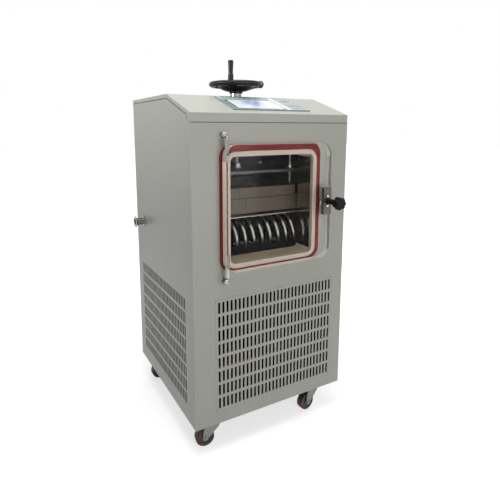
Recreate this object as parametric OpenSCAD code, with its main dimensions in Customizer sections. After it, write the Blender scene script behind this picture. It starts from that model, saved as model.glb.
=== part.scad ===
// Floor-standing freeze dryer with a top press: vacuum chamber behind a clear hinged door,
// refrigeration bay with slotted vents below it, control deck and press handwheel on top.
// Lengths are in millimetres. X points right, Y points back and Z points up from the floor.

/* [Cabinet] */
// Width of the cabinet
cab_w = 550; // [540:5:650]
// Depth of the cabinet
cab_d = 540; // [535:5:640]
// Height of the front panel, from its lower edge to the seam under the lid
front_h = 910; // [905:5:960]
// Thickness of the painted sheet
sheet_t = 1.5; // [1:0.1:2]
// Width of the front panel's folds round the corners
fold_w = 25; // [18:1:32]
// Open seam between neighbouring panels
seam = 0.8; // [0.4:0.1:1.2]
// Thickness of the base plate
base_t = 3; // [2:0.5:5]
// Leg width of the frame's angle bars
angle_w = 25; // [20:1:27]
// Thickness of the frame's angle bars
angle_t = 3; // [2:0.5:4]
// Height of the machine bay, from the cabinet's lower edge to the chamber's bearers
bay_h = 441; // [430:1:445]

/* [Lid] */
// Height of the lid's front lip
lid_lip = 25; // [20:1:32]
// Height of the lid's side and rear lips
lid_side_lip = 12; // [8:1:16]
// Rise from the lid's front edge to its flat top
lid_rise = 59; // [54:1:70]
// Depth of the sloping control deck, seen from above
deck_d = 178.7; // [172:0.1:186]
// Width of the control fascia
fascia_w = 274; // [250:1:320]
// Length of the control fascia down the slope
fascia_l = 139; // [130:1:146]
// Thickness of the control fascia
fascia_t = 3; // [2:0.5:4]
// Distance of the fascia below the ridge, along the slope
fascia_drop = 18; // [12:1:24]
// Centre of the fascia to the right of the cabinet's middle
fascia_x = 10; // [-20:1:30]
// Width of the touch screen
screen_w = 164; // [120:1:180]
// Length of the touch screen down the slope
screen_l = 92; // [80:1:100]
// Distance of the screen below the ridge, along the slope
screen_drop = 56; // [50:1:58]
// Centre of the screen to the left of the fascia's middle
screen_off = 35; // [25:1:40]

/* [Ventilation] */
// Width of one vent slot
slot_w = 7; // [5:0.5:9]
// Height of one vent slot
slot_h = 34; // [28:1:38]
// Sideways spacing of the slots
slot_pitch = 13.8; // [12:0.1:14]
// Vertical spacing of the slot rows
row_pitch = 43.6; // [41:0.1:44]
// Slots in one row
slot_cols = 31; // [20:1:31]
// Rows of slots in the front grille and the side panels
slot_rows = 8; // [5:1:8]
// Rows of slots in the rear panel
rear_rows = 6; // [3:1:6]
// Plain border of the front grille beside its slots
grille_edge = 9; // [8:0.5:12]
// Lowest slot above the cabinet's lower edge, front grille
front_vent_z = 49.5; // [45:0.5:58]
// Lowest slot above the cabinet's lower edge, side panels
side_vent_z = 54; // [45:0.5:60]
// Centre of the front grille to the right of the cabinet's middle
grille_x = 13.2; // [0:0.1:16]
// Centre of the side vents behind the cabinet's middle
side_vent_y = 5.5; // [0:0.5:12]

/* [Chamber] */
// Inner width of the vacuum chamber
chamber_w = 355; // [350:1:362]
// Inner depth of the vacuum chamber
chamber_d = 309; // [305:1:320]
// Inner height of the vacuum chamber
chamber_h = 375; // [370:1:385]
// Wall thickness of the vacuum chamber
chamber_t = 4; // [3:0.5:5]
// Centre of the chamber to the left of the cabinet's middle
chamber_off = 14.5; // [5:0.5:18]
// Depth from the cabinet's front to the chamber's front wall
neck_l = 71; // [65:1:75]
// Wall thickness of the chamber's neck
neck_t = 3; // [2:0.5:4]
// Clear width of the mouth
mouth_w = 291; // [285:1:295]
// Clear height of the mouth
mouth_h = 312; // [306:1:316]
// Corner radius of the mouth
mouth_r = 17; // [12:1:22]
// Height of the mouth's sill above the chamber's floor
sill_h = 37; // [34:1:40]
// Thickness of the insulation round the chamber
jacket_t = 20; // [12:1:22]

/* [Door and seal] */
// Face width of the trim round the mouth
trim_w = 14; // [10:1:16]
// Stand of the trim and the seal in front of the panel
trim_t = 7; // [5:0.5:8]
// Depth of the trim's collar inside the mouth
collar_l = 6; // [4:0.5:9]
// Width of the seal on the hinge side
seal_left = 16; // [12:0.5:17]
// Width of the seal on the latch side
seal_right = 14; // [10:0.5:14]
// Width of the seal above the mouth
seal_top = 19; // [12:0.5:20]
// Width of the seal below the mouth
seal_low = 7; // [5:0.5:8]
// Outer corner radius of the seal
seal_r = 34; // [28:1:36]
// Thickness of the clear door plate
door_t = 25; // [20:1:26]
// Corner radius of the door plate
door_r = 37; // [20:1:40]
// Reach of the door past the mouth on the hinge side
door_left = 26; // [25:1:30]
// Reach of the door past the mouth on the latch side
door_right = 55; // [50:1:62]
// Reach of the door above the mouth
door_up = 34; // [33:1:38]
// Reach of the door below the mouth
door_down = 19; // [18:1:24]
// Free gap behind the closed door
door_gap = 0.3; // [0.2:0.1:0.6]
// Distance of the hinge axis inside the door's edge
hinge_in = 10; // [9:0.5:10.5]
// Diameter of the hinge pins
pin_d = 8; // [6:0.5:8]
// Diameter of the hinge posts
post_d = 22; // [18:1:24]
// Distance of the posts' axes above and below the door
post_gap = 27.5; // [24:0.5:32]
// Diameter of the hinge bushes
bush_d = 12; // [11:0.5:13]
// Length of the lower hinge bush inside the door
bush_low = 51; // [35:1:60]
// Length of the upper hinge bush inside the door
bush_top = 30; // [20:1:40]

/* [Latch] */
// Distance of the latch axis past the mouth
latch_x = 33.5; // [33.5:0.5:36]
// Height of the latch axis above the mouth's sill
latch_z = 166; // [120:1:200]
// Width of the latch block
block_w = 30; // [26:1:34]
// Height of the latch block
block_h = 85; // [70:1:95]
// Thickness of the latch block
block_t = 13; // [10:1:16]
// Spacing of the two block screws
block_screws = 30; // [28:1:40]
// Diameter of the latch spindle
spindle_d = 8; // [6:0.5:8]
// Length of the knob's neck
neck_stem = 40; // [30:1:45]
// Diameter of the knob's neck
stem_d = 20; // [16:1:20]
// Diameter of the star knob
knob_d = 40; // [34:1:46]
// Length of the star knob
knob_l = 27.7; // [24:0.1:34]
// Lobes of the star knob
knob_lobes = 7; // [5:1:8]
// Reach of the pawl from its axis
pawl_reach = 17; // [15:0.5:17]
// Thickness of the pawl
pawl_t = 3; // [2:0.5:3]

/* [Press] */
// Outer diameter of the handwheel
wheel_d = 180; // [160:2:200]
// Diameter of the handwheel's rim section
rim_d = 20; // [16:1:22]
// Height of the rim's centre above the lid
rim_z = 42; // [40:1:48]
// Diameter of the handwheel's hub
hub_d = 45; // [42:1:50]
// Length of the handwheel's hub
hub_h = 26; // [22:1:30]
// Height of the hub above the lid
hub_z = 13; // [8:1:14]
// Diameter of the grip at its top
grip_d = 18; // [16:0.5:20]
// Length of the grip
grip_l = 57; // [45:1:62]
// Direction of the grip, seen from above
grip_dir = 230; // [0:5:355]
// Diameter of the press rod
rod_d = 16; // [12:0.5:18]
// Outer diameter of the rod's housing
housing_d = 38; // [30:1:40]
// Gap between the press plate and the chamber's side walls
plate_side = 12.5; // [8:0.5:14]
// Gap between the press plate and the chamber's front and rear walls
plate_end = 19; // [10:0.5:30]
// Thickness of the press plate
plate_t = 8; // [6:0.5:10]
// Height of the press plate above the chamber's floor
plate_z = 288; // [286:1:296]

/* [Shelf and tray] */
// Gap between the heated shelf and the chamber's side walls
shelf_side = 7.5; // [4:0.5:10]
// Gap between the heated shelf and the chamber's front and rear walls
shelf_end = 13; // [6:0.5:24]
// Overall height of the heated shelf
shelf_h = 47; // [40:1:48]
// Thickness of the heated shelf's top
shelf_t = 20; // [12:1:24]
// Height of the shelf's top above the chamber's floor
shelf_z = 211; // [208:1:214]
// Gap between the product tray and the guide rods
tray_side = 4; // [2:0.5:12]
// Gap between the product tray and the chamber's front and rear walls
tray_end = 11; // [6:0.5:24]
// Height of the product tray
tray_h = 33; // [24:1:36]
// Sheet thickness of the product tray
tray_t = 2; // [1:0.5:2.5]
// Diameter of the guide rods
guide_d = 12; // [10:0.5:13]
// Distance of the guide rods inside the shelf's sides
guide_in = 18; // [16:0.5:20]
// Distance of the guide rods inside the shelf's front and rear edges
guide_back = 44.5; // [30:0.5:60]

/* [Condenser coil] */
// Diameter of the coil's tube
coil_tube = 12; // [10:0.5:13]
// Gap between the coil and the chamber's side walls
coil_side = 24.25; // [20:0.25:30]
// Turns of the coil
coil_turns = 10; // [8:1:10]
// Bend radius at the front and back of each turn
coil_bend = 60; // [50:1:60]
// Straight length between the bends
coil_run = 140; // [100:5:160]
// Height of the coil's middle above the chamber's floor
coil_z = 76; // [72:1:78]
// Gap between the coil and the chamber's front wall
coil_front = 8; // [6:1:12]

/* [Refrigeration] */
// Diameter of the compressor's shell
comp_d = 160; // [140:2:170]
// Height of the compressor's shell
comp_h = 230; // [200:5:240]
// Height of the compressor's rubber mounts
mount_h = 20; // [15:1:25]
// Width of the radiator
rad_w = 300; // [280:5:320]
// Height of the radiator
rad_h = 300; // [280:5:310]
// Thickness of the radiator
rad_t = 45; // [35:1:50]
// Diameter of the fan
fan_d = 240; // [220:2:246]
// Blades of the fan
fan_count = 5; // [3:1:7]
// Diameter of the filter drier
drier_d = 44; // [36:1:50]

/* [Ports and electrics] */
// Flange diameter of the vacuum port
flange_d = 40; // [36:1:44]
// Outer diameter of the vacuum tube
vac_d = 26; // [25:0.5:28]
// Bore diameter of the vacuum tube
vac_bore = 23; // [20:0.5:24]
// Reach of the vacuum port from the cabinet's side
vac_reach = 33; // [28:1:40]
// Height of the vacuum port above the chamber's floor
vac_z = 92; // [85:1:100]
// Width of the isolation valve's body
iso_w = 52; // [44:1:54]
// Length of the isolation valve's body
iso_l = 59.5; // [54:0.5:64]
// Height of the isolation valve's actuator
iso_top = 34; // [24:1:40]
// Reach of the drain valve behind the cabinet
drain_reach = 34; // [30:1:40]
// Width of the mains inlet module
inlet_w = 48; // [46:1:54]
// Height of the mains inlet module
inlet_h = 64; // [60:1:70]
// Width of the control box
box_w = 200; // [160:5:220]
// Depth of the control box
box_d = 100; // [80:5:110]
// Height of the control box
box_h = 280; // [200:5:300]

/* [Casters] */
// Overall height of a caster
caster_h = 95; // [90:1:105]
// Diameter of a caster's wheel
tyre_d = 60; // [55:1:64]
// Width of a caster's wheel
tyre_w = 24; // [20:1:26]
// Distance between a caster's swivel axis and its axle
trail = 30; // [26:1:34]
// Distance of the casters from the cabinet's middle, sideways
caster_x = 195; // [180:1:205]
// Distance of the casters from the cabinet's middle, front to back
caster_y = 222; // [200:1:225]

/* [Hidden] */
$fn = 64;

// Clearances
seat = 0.3;         // between pieces that rest close together
run = 0.1;          // radial, round a shaft or a pin that turns or slides
hole = 1;           // radial, round a tube or rod that passes through a wall
film = 0.05;        // under a plate that lies on a slope

// Cabinet
base_z = caster_h;
seam_z = base_z + front_h;
half_w = cab_w / 2;
front_y = -cab_d / 2;
back_y = cab_d / 2;
in_w = half_w - sheet_t;
in_front = front_y + sheet_t;
in_back = back_y - sheet_t;
floor_z = base_z + base_t;
bearer_z = base_z + bay_h;

// Lid
edge_z = seam_z + lid_lip;
top_z = edge_z + lid_rise;
under_z = top_z - sheet_t;
ridge_y = front_y + deck_d;
slope = atan(lid_rise / deck_d);
slope_l = norm([lid_rise, deck_d]);
flap_w = 8;
flap_y = front_y + flap_w;
fold_y = front_y + fold_w;
function deck_z(y) = edge_z + (y - front_y) * tan(slope);

// Chamber and mouth
chamber_x = -chamber_off;
chamber_z = bearer_z + jacket_t + chamber_t;
chamber_y = front_y + neck_l + chamber_d / 2;
chamber_front = front_y + neck_l;
chamber_back = chamber_front + chamber_d;
chamber_top = chamber_z + chamber_h;
sill_z = chamber_z + sill_h;
mouth_z = sill_z + mouth_h / 2;
mouth_left = chamber_x - mouth_w / 2;
mouth_right = chamber_x + mouth_w / 2;

// Door, hinge and latch
door_x = chamber_x + (door_right - door_left) / 2;
door_w = mouth_w + door_left + door_right;
door_h = mouth_h + door_up + door_down;
door_z = mouth_z + (door_up - door_down) / 2;
door_low_z = sill_z - door_down;
door_top_z = door_low_z + door_h;
door_back = trim_t + door_gap;
door_front = door_back + door_t;
hinge_x = mouth_left - door_left + hinge_in;
hinge_stand = door_back + door_t / 2;
hinge_y = front_y - hinge_stand;
post_top_z = door_top_z + post_gap;
post_low_z = door_low_z - post_gap;
pin_wall = 4;
post_l = hinge_stand + pin_d / 2 + pin_wall;
latch_ax = mouth_right + latch_x;
latch_az = sill_z + latch_z;
stem_front = door_front + block_t + seat;
knob_front = stem_front + neck_stem + knob_l;

// Press and guides
plate_low_z = chamber_z + plate_z;
plate_top_z = plate_low_z + plate_t;
hub_low_z = top_z + hub_z;
housing_top_z = hub_low_z - seat;
grip_low_z = top_z + rim_z + rim_d / 2;
shelf_top_z = chamber_z + shelf_z;
shelf_low_z = shelf_top_z - shelf_h;
baffle_t = 3;
baffle_drop = 13;
baffle_z = shelf_low_z - baffle_drop;
guide_tail = 5;
guide_low_z = baffle_z - guide_tail;
shelf_w = chamber_w - 2 * shelf_side;
shelf_d = chamber_d - 2 * shelf_end;
plate_w = chamber_w - 2 * plate_side;
plate_d = chamber_d - 2 * plate_end;
guide_x = shelf_w / 2 - guide_in;
guide_y = shelf_d / 2 - guide_back;
tray_w = 2 * (guide_x - guide_d / 2 - tray_side);
tray_d = chamber_d - 2 * tray_end;
guides = [for (sx = [-1, 1], sy = [-1, 1]) [sx * guide_x, sy * guide_y]];

// Condenser coil
coil_pitch = (chamber_w - 2 * coil_side - coil_tube) / (coil_turns - 0.5);
coil_cx = chamber_x - coil_pitch * (coil_turns - 0.5) / 2;
coil_cy = chamber_front + coil_front + coil_tube / 2 + coil_bend;
coil_cz = chamber_z + coil_z;
tail_out = 6;
coil_end = chamber_back + chamber_t + jacket_t + tail_out;
run_back = 25;
rear_run_y = coil_end + run_back;

// Machine bay
comp_at = [115, 70];
comp_z = floor_z + mount_h;
comp_top = comp_z + comp_h;
rad_x = -in_w + angle_w;
rad_y = side_vent_y;
rad_foot = 30;
rad_z = floor_z + rad_foot;
fan_z = rad_z + rad_h / 2;
shroud_x = rad_x + rad_t;
fan_in = 20;
fan_x = shroud_x + fan_in;
motor_gap = 38;
motor_x = fan_x + motor_gap;
motor_d = 90;
motor_l = 60;
shaft_r = 5;
shaft_in = 4;       // from the fan's middle to the shaft's end
drier_at = [60, -190];
drier_foot = 100;
drier_z = floor_z + drier_foot;
drier_h = 110;

// Rear and side connections
vac_off = 85;
vac_back = 72;
vac_at_x = chamber_x - vac_off;
vac_y = chamber_back + chamber_t + vac_back;
vac_cz = chamber_z + vac_z;
vac_end = -half_w - vac_reach;
iso_past = 14;
iso_left = vac_at_x - iso_w / 2 - iso_past;
drain_x = -60;
drain_y = 40;
drain_drop = 66;
drain_r = 8;
drain_lip = 2;      // seat left round the drain hole
drain_z = bearer_z - drain_drop;
inlet_x = 100;
inlet_up = 30;
inlet_at = [inlet_x, bearer_z + inlet_up];
box_up = 60;
box_z = chamber_z + box_up;

// Origin: middle of the whole outline, on the floor
reach_front = -front_y + knob_front;
reach_back = back_y + drain_reach;
shift_x = vac_reach / 2;
shift_y = (reach_front - reach_back) / 2;

// Colours
paint = [0.63, 0.635, 0.6];
paint_light = [0.87, 0.87, 0.83];
steel = [0.72, 0.71, 0.68];
dark_steel = [0.42, 0.41, 0.39];
copper = [0.72, 0.45, 0.3];
black = [0.07, 0.07, 0.07];
silicone = [0.56, 0.16, 0.15];
cream = [0.82, 0.78, 0.68];

// Everything is drawn in cabinet coordinates and moved to the origin by this module
module placed() translate([shift_x, shift_y, 0]) children();

// Flat outline (x, z) given depth t towards the front, starting at y
module facing(y, t) translate([0, y, 0]) rotate([90, 0, 0]) linear_extrude(t) children();

// Flat outline (y, z) given width t towards the right, starting at x
module sideways(x, t) translate([x, 0, 0]) rotate([90, 0, 90]) linear_extrude(t) children();

// Box from its lowest and highest corners
module box(lo, hi) translate(lo) cube(hi - lo);

// Round bar along Y, from y0 back to y1
module bar_y(x, y0, y1, z, r)
    translate([x, y0, z]) rotate([-90, 0, 0]) cylinder(r = r, h = y1 - y0);

// Round bar along X, from x0 right to x1
module bar_x(x0, x1, y, z, r)
    translate([x0, y, z]) rotate([0, 90, 0]) cylinder(r = r, h = x1 - x0);

// Outline of a rectangle with round corners, centred on the origin
function rounded(w, h, r, n = 8) = [for (q = [0:3], i = [0:n])
    let (a = 90 * q + 90 * i / n, sx = q == 0 || q == 3 ? 1 : -1, sy = q < 2 ? 1 : -1)
    [sx * (w / 2 - r) + r * cos(a), sy * (h / 2 - r) + r * sin(a)]];

module rounded_at(x, z, w, h, r) translate([x, z]) polygon(rounded(w, h, r));

// Field of vent slots, centred sideways, its lowest row starting at the origin's height
module slots(rows = slot_rows)
    for (i = [0:slot_cols - 1], k = [0:rows - 1])
        translate([(i - (slot_cols - 1) / 2) * slot_pitch - slot_w / 2, k * row_pitch])
            square([slot_w, slot_h]);

field_w = (slot_cols - 1) * slot_pitch + slot_w;
field_h = (slot_rows - 1) * row_pitch + slot_h;
grille_w = field_w + 2 * grille_edge;
grille_h = field_h + 2 * grille_edge;
grille_z = base_z + front_vent_z - grille_edge + grille_h / 2;

// Path with a quarter bend at each inner corner
function unit(v) = v / norm(v);
function bent(p, r, n = 5) = [for (i = [0:len(p) - 1]) each (i == 0 || i == len(p) - 1) ? [p[i]] :
    let (a = unit(p[i - 1] - p[i]), c = unit(p[i + 1] - p[i]))
    [for (k = [0:n]) p[i] + a * r * (1 - sin(90 * k / n)) + c * r * (1 - cos(90 * k / n))]];

// Directions along a path, and side vectors carried along it without twist
function headings(p) = [for (i = [0:len(p) - 1])
    unit(p[min(i + 1, len(p) - 1)] - p[max(i - 1, 0)])];
function square_to(n, t) = unit(n - t * (n * t));
function carried(t, start) = [for (i = 0, n = square_to(start, t[0]); i < len(t);
    i = i + 1, n = square_to(n, t[min(i, len(t) - 1)])) n];

// Round tube swept along a path; start is any direction off the path's first heading
module swept(p, r, start, sides = 8) {
    t = headings(p);
    n = carried(t, start);
    rings = [for (i = [0:len(p) - 1], k = [0:sides - 1])
        p[i] + r * (cos(360 * k / sides) * n[i] + sin(360 * k / sides) * cross(t[i], n[i]))];
    last = (len(p) - 1) * sides;
    walls = [for (i = [0:len(p) - 2], k = [0:sides - 1])
        let (a = i * sides + k, b = i * sides + (k + 1) % sides) [a, a + sides, b + sides, b]];
    polyhedron(rings, concat(walls, [[for (k = [0:sides - 1]) k]],
        [[for (k = [sides - 1:-1:0]) last + k]]), convexity = 10);
}

// ---- Cabinet ----

// Angle-bar ring against the panels, its flat leg at height leg_z
module ring(z, leg_z) {
    difference() {
        box([-in_w, in_front, z], [in_w, in_back, z + angle_w]);
        box([angle_t - in_w, in_front + angle_t, z - 1],
            [in_w - angle_t, in_back - angle_t, z + angle_w + 1]);
    }
    difference() {
        box([-in_w, in_front, leg_z], [in_w, in_back, leg_z + angle_t]);
        box([angle_w - in_w, in_front + angle_w, leg_z - 1],
            [in_w - angle_w, in_back - angle_w, leg_z + angle_t + 1]);
    }
}

// Upright angle bar in a corner, sx and sy pointing outwards
module upright(sx, y, sy, z0, z1) {
    x0 = sx * in_w;
    box([min(x0, x0 - sx * angle_w), min(y, y - sy * angle_t), z0],
        [max(x0, x0 - sx * angle_w), max(y, y - sy * angle_t), z1]);
    box([min(x0, x0 - sx * angle_t), min(y, y - sy * angle_w), z0],
        [max(x0, x0 - sx * angle_t), max(y, y - sy * angle_w), z1]);
}

ring_gap = 16;
ring_top_z = chamber_top + chamber_t + jacket_t + ring_gap;
portal_gap = 1;
portal_y = ridge_y + portal_gap;
bearer_in = 30;
bearer_past = 40;
bearers = [chamber_front + bearer_in, drain_y + bearer_past];

module frame() placed() color(dark_steel) {
    ring(floor_z, floor_z);
    ring(bearer_z - angle_w, bearer_z - angle_t);
    ring(ring_top_z, ring_top_z + angle_w - angle_t);
    for (sx = [-1, 1]) {
        upright(sx, in_front, -1, floor_z, ring_top_z + angle_w);
        upright(sx, in_back, 1, floor_z, under_z);
        upright(sx, portal_y, -1, ring_top_z, under_z);
    }
    for (y = bearers) {
        box([-in_w, y, bearer_z - angle_t], [in_w, y + angle_w, bearer_z]);
        box([-in_w, y, bearer_z - angle_w], [in_w, y + angle_t, bearer_z]);
    }
    box([-in_w, portal_y, under_z - angle_t], [in_w, portal_y + angle_w, under_z]);
    box([-in_w, portal_y, under_z - angle_w], [in_w, portal_y + angle_t, under_z]);
    box([-in_w, in_back - angle_w, under_z - angle_t], [in_w, in_back, under_z]);
}

module base_plate() placed() color(dark_steel)
    box([-in_w, in_front, base_z], [in_w, in_back, floor_z]);

// Side panel outline (y, z): its top follows the lid's lip one seam below it
module side_outline()
    polygon([[fold_y + seam, base_z], [in_back, base_z], [in_back, top_z - lid_side_lip - seam],
        [ridge_y, top_z - lid_side_lip - seam],
        [fold_y + seam, deck_z(fold_y + seam) - lid_side_lip - seam]]);

module side_panel(x) sideways(x, sheet_t) difference() {
    side_outline();
    translate([side_vent_y, base_z + side_vent_z]) slots();
}

module left_panel() placed() color(paint) difference() {
    side_panel(-half_w);
    bar_x(-half_w - 1, -in_w + 1, vac_y, vac_cz, vac_d / 2 + hole);
}

module right_panel() placed() color(paint) side_panel(in_w);

module rear_panel() placed() color(paint) facing(back_y, sheet_t) difference() {
    translate([-half_w, base_z]) square([cab_w, top_z - lid_side_lip - seam - base_z]);
    translate([0, base_z + side_vent_z]) slots(rear_rows);
    translate([drain_x, drain_z]) circle(r = drain_r + 2 * hole);
    translate(inlet_at) square([inlet_w - 2 * inlet_rim, inlet_h - 2 * inlet_rim], center = true);
}

// Fold of the front panel round a corner
module front_fold(x) sideways(x, sheet_t)
    polygon([[front_y, base_z], [fold_y, base_z], [fold_y, deck_z(fold_y) - lid_side_lip - seam],
        [flap_y, seam_z - seam], [front_y, seam_z - seam]]);

screw_r = 1.6;
collar_w = mouth_w + 2 * neck_t;
collar_h = mouth_h + 2 * neck_t;
ledge = grille_edge - 2;

module front_panel() placed() color(paint) {
    difference() {
        union() {
            facing(in_front, sheet_t)
                translate([-half_w, base_z]) square([cab_w, front_h - seam]);
            facing(in_front + sheet_t, sheet_t) translate([grille_x, grille_z])
                square([grille_w + 2 * ledge, grille_h + 2 * ledge], center = true);
            front_fold(-half_w);
            front_fold(in_w);
        }
        facing(in_front + 1, sheet_t + 2)
            rounded_at(chamber_x, mouth_z, collar_w + 2 * seat, collar_h + 2 * seat,
                mouth_r + neck_t);
        facing(in_front, sheet_t + 1) translate([grille_x, grille_z])
            square([grille_w + seam, grille_h + seam], center = true);
        facing(in_front + sheet_t + 1, sheet_t + 2) translate([grille_x, grille_z])
            square([grille_w - 2 * ledge, grille_h - 2 * ledge], center = true);
        grille_screw_places() bar_y(0, front_y - 1, in_front + sheet_t + 1, 0, screw_r + run);
        for (z = [post_low_z, post_top_z])
            bar_y(hinge_x, front_y - 1, in_front + 1, z, stud_r + run);
    }
}

// Places of the grille's screws: corners and edge middles
module grille_screw_places()
    for (i = [-1:1], k = [-1:1]) if (i != 0 || k != 0)
        translate([grille_x + i * (grille_w - ledge) / 2, 0,
            grille_z + k * (grille_h - ledge) / 2]) children();

module front_grille() placed() color(paint) difference() {
    facing(in_front, sheet_t) difference() {
        translate([grille_x, grille_z]) square([grille_w, grille_h], center = true);
        translate([grille_x, base_z + front_vent_z]) slots();
    }
    grille_screw_places() bar_y(0, front_y - 1, in_front + 1, 0, screw_r + run);
}

module grille_screws() placed() color(steel) grille_screw_places() {
    bar_y(0, front_y, in_front + sheet_t + 2, 0, screw_r);
    bar_y(0, front_y - screw_r, front_y, 0, 2 * screw_r);
}

// ---- Lid and controls ----

// Cover's outer outline (y, z)
module lid_outline()
    polygon([[front_y, seam_z], [back_y, seam_z], [back_y, top_z], [ridge_y, top_z],
        [front_y, edge_z]]);

// Space under the cover's skin (y, z)
module lid_hollow() {
    drop = sheet_t / cos(slope);
    polygon([[in_front, seam_z - 1], [in_back, seam_z - 1], [in_back, under_z],
        [front_y + (lid_rise - sheet_t + drop) / tan(slope), under_z],
        [in_front, deck_z(in_front) - drop]]);
}

// What lies below the side and rear lips (y, z)
module lid_cutaway()
    polygon([[flap_y, seam_z - 1], [flap_y, seam_z],
        [fold_y, deck_z(fold_y) - lid_side_lip], [ridge_y, top_z - lid_side_lip],
        [back_y + 1, top_z - lid_side_lip], [back_y + 1, seam_z - 1]]);

// Flat outline on the sloping deck: x to the right, y up the slope from the front edge
module on_deck(lift, t) translate([0, front_y, edge_z]) rotate([slope, 0, 0])
    translate([0, 0, lift]) linear_extrude(t) children();

fascia_mid = slope_l - fascia_drop - fascia_l / 2;
screen_mid = slope_l - screen_drop - screen_l / 2;
screen_x = fascia_x - screen_off;
screen_rest = 8;    // ledge that carries the screen's edge
screen_depth = 28;

module top_cover() placed() color(paint_light) difference() {
    sideways(-half_w, cab_w) lid_outline();
    sideways(-in_w, 2 * in_w) lid_hollow();
    sideways(-half_w - 1, cab_w + 2) lid_cutaway();
    translate([chamber_x, chamber_y, seam_z])
        cylinder(r = housing_d / 2 + hole, h = top_z);
    on_deck(-3 * sheet_t, 6 * sheet_t) translate([screen_x, screen_mid])
        square([screen_w - 2 * screen_rest, screen_l - 2 * screen_rest], center = true);
}

module control_fascia() placed() color([0.66, 0.76, 0.75]) on_deck(film, fascia_t) difference() {
    translate([fascia_x, fascia_mid]) polygon(rounded(fascia_w, fascia_l, 4));
    translate([screen_x, screen_mid])
        square([screen_w + 2 * seat, screen_l + 2 * seat], center = true);
}

module touch_screen() placed() color([0.85, 0.9, 0.97]) {
    on_deck(film, fascia_t) translate([screen_x, screen_mid])
        square([screen_w, screen_l], center = true);
    on_deck(-screen_depth, screen_depth + film) translate([screen_x, screen_mid])
        square([screen_w - 2 * screen_rest - 2 * hole, screen_l - 2 * screen_rest - 2 * hole],
            center = true);
}

// ---- Chamber ----

module neck_tube(grow, y0, y1)
    facing(y1, y1 - y0) rounded_at(chamber_x, mouth_z, mouth_w + 2 * grow, mouth_h + 2 * grow,
        mouth_r + grow);

module chamber_box(grow) translate([chamber_x, chamber_y, chamber_z + chamber_h / 2])
    cube([chamber_w + 2 * grow, chamber_d + 2 * grow, chamber_h + 2 * grow], center = true);

// Straight pipes through the rear wall: vacuum tube, coil inlet and coil outlet
coil_tails = [[coil_cx, coil_cz + coil_bend],
    [coil_cx + coil_pitch * (coil_turns - 0.5), coil_cz - coil_bend]];

module rear_pipes(gap, y0, y1) {
    bar_y(vac_at_x, y0, y1, vac_cz, vac_d / 2 + gap);
    for (t = coil_tails) bar_y(t[0], y0, y1, t[1], coil_tube / 2 + gap);
}

module chamber() placed() color(steel) difference() {
    union() {
        chamber_box(chamber_t);
        neck_tube(neck_t, front_y + collar_l, chamber_front - chamber_t + 1);
    }
    chamber_box(0);
    neck_tube(0, front_y, chamber_front + 1);
    translate([chamber_x, chamber_y, chamber_top - 1])
        cylinder(r = rod_d / 2 + hole, h = chamber_t + 2);
    rear_pipes(hole, chamber_back - 1, chamber_back + chamber_t + 1);
    translate([drain_x, drain_y, chamber_z - chamber_t - 1])
        cylinder(r = drain_r - drain_lip, h = chamber_t + 2);
}

module insulation_jacket() placed() color([0.2, 0.2, 0.2]) difference() {
    chamber_box(chamber_t + jacket_t);
    chamber_box(chamber_t);
    neck_tube(neck_t + hole, front_y, chamber_front);
    translate([chamber_x, chamber_y, chamber_top])
        cylinder(r = flange_r + hole, h = 2 * jacket_t);
    rear_pipes(hole, chamber_back, chamber_back + chamber_t + 2 * jacket_t);
    translate([drain_x, drain_y, chamber_z - chamber_t - 2 * jacket_t])
        cylinder(r = drain_r + hole, h = 2 * jacket_t);
}

trim_outer = [mouth_w + 2 * trim_w, mouth_h + 2 * trim_w];

module mouth_trim() placed() color(cream) difference() {
    union() {
        facing(front_y, trim_t)
            rounded_at(chamber_x, mouth_z, trim_outer[0], trim_outer[1], mouth_r + trim_w);
        neck_tube(neck_t, front_y - 1, front_y + collar_l);
    }
    neck_tube(0, front_y - trim_t - 1, front_y + collar_l + 1);
}

module door_seal() placed() color(silicone) facing(front_y, trim_t) difference() {
    rounded_at(chamber_x + (seal_right - seal_left) / 2, mouth_z + (seal_top - seal_low) / 2,
        trim_outer[0] + seal_left + seal_right, trim_outer[1] + seal_top + seal_low, seal_r);
    rounded_at(chamber_x, mouth_z, trim_outer[0] + 2 * seat, trim_outer[1] + 2 * seat,
        mouth_r + trim_w + seat);
}

// ---- Door ----

// Door outline seen from above (x, distance in front of the panel). The back edge on the
// hinge side is rounded about the hinge axis, so that the opening door clears the seal.
edge_r = 3;
screw_hole_r = 2.5;
screw_in = 15;
left_x = hinge_x - hinge_in;
relief_r = hinge_stand - door_back;
relief_a = 180 + acos(hinge_in / relief_r);
function door_plan() = concat(
    [for (i = [0:8]) let (a = 180 - 90 * i / 8)
        [left_x + edge_r + edge_r * cos(a), door_front - edge_r + edge_r * sin(a)]],
    [[left_x + door_w, door_front], [left_x + door_w, door_back]],
    [for (i = [0:8]) let (a = 270 - (270 - relief_a) * i / 8)
        [hinge_x + relief_r * cos(a), hinge_stand + relief_r * sin(a)]]);

module door_plate() placed() color([0.85, 0.88, 0.86, 0.35]) difference() {
    intersection() {
        facing(front_y, door_front + 1) rounded_at(door_x, door_z, door_w, door_h, door_r);
        translate([0, front_y, door_low_z - 1]) linear_extrude(door_h + 2)
            polygon([for (p = door_plan()) [p[0], -p[1]]]);
    }
    translate([hinge_x, hinge_y, door_low_z - 1])
        cylinder(r = bush_d / 2 + run, h = bush_low + 1);
    translate([hinge_x, hinge_y, door_top_z - bush_top])
        cylinder(r = bush_d / 2 + run, h = bush_top + 1);
    bar_y(latch_ax, front_y - door_front - 1, front_y - door_back + 1, latch_az,
        spindle_d / 2 + run);
    for (s = [-1, 1]) bar_y(latch_ax, front_y - door_front - 1, front_y - door_front + screw_in,
        latch_az + s * block_screws / 2, screw_hole_r + run);
}

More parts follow.
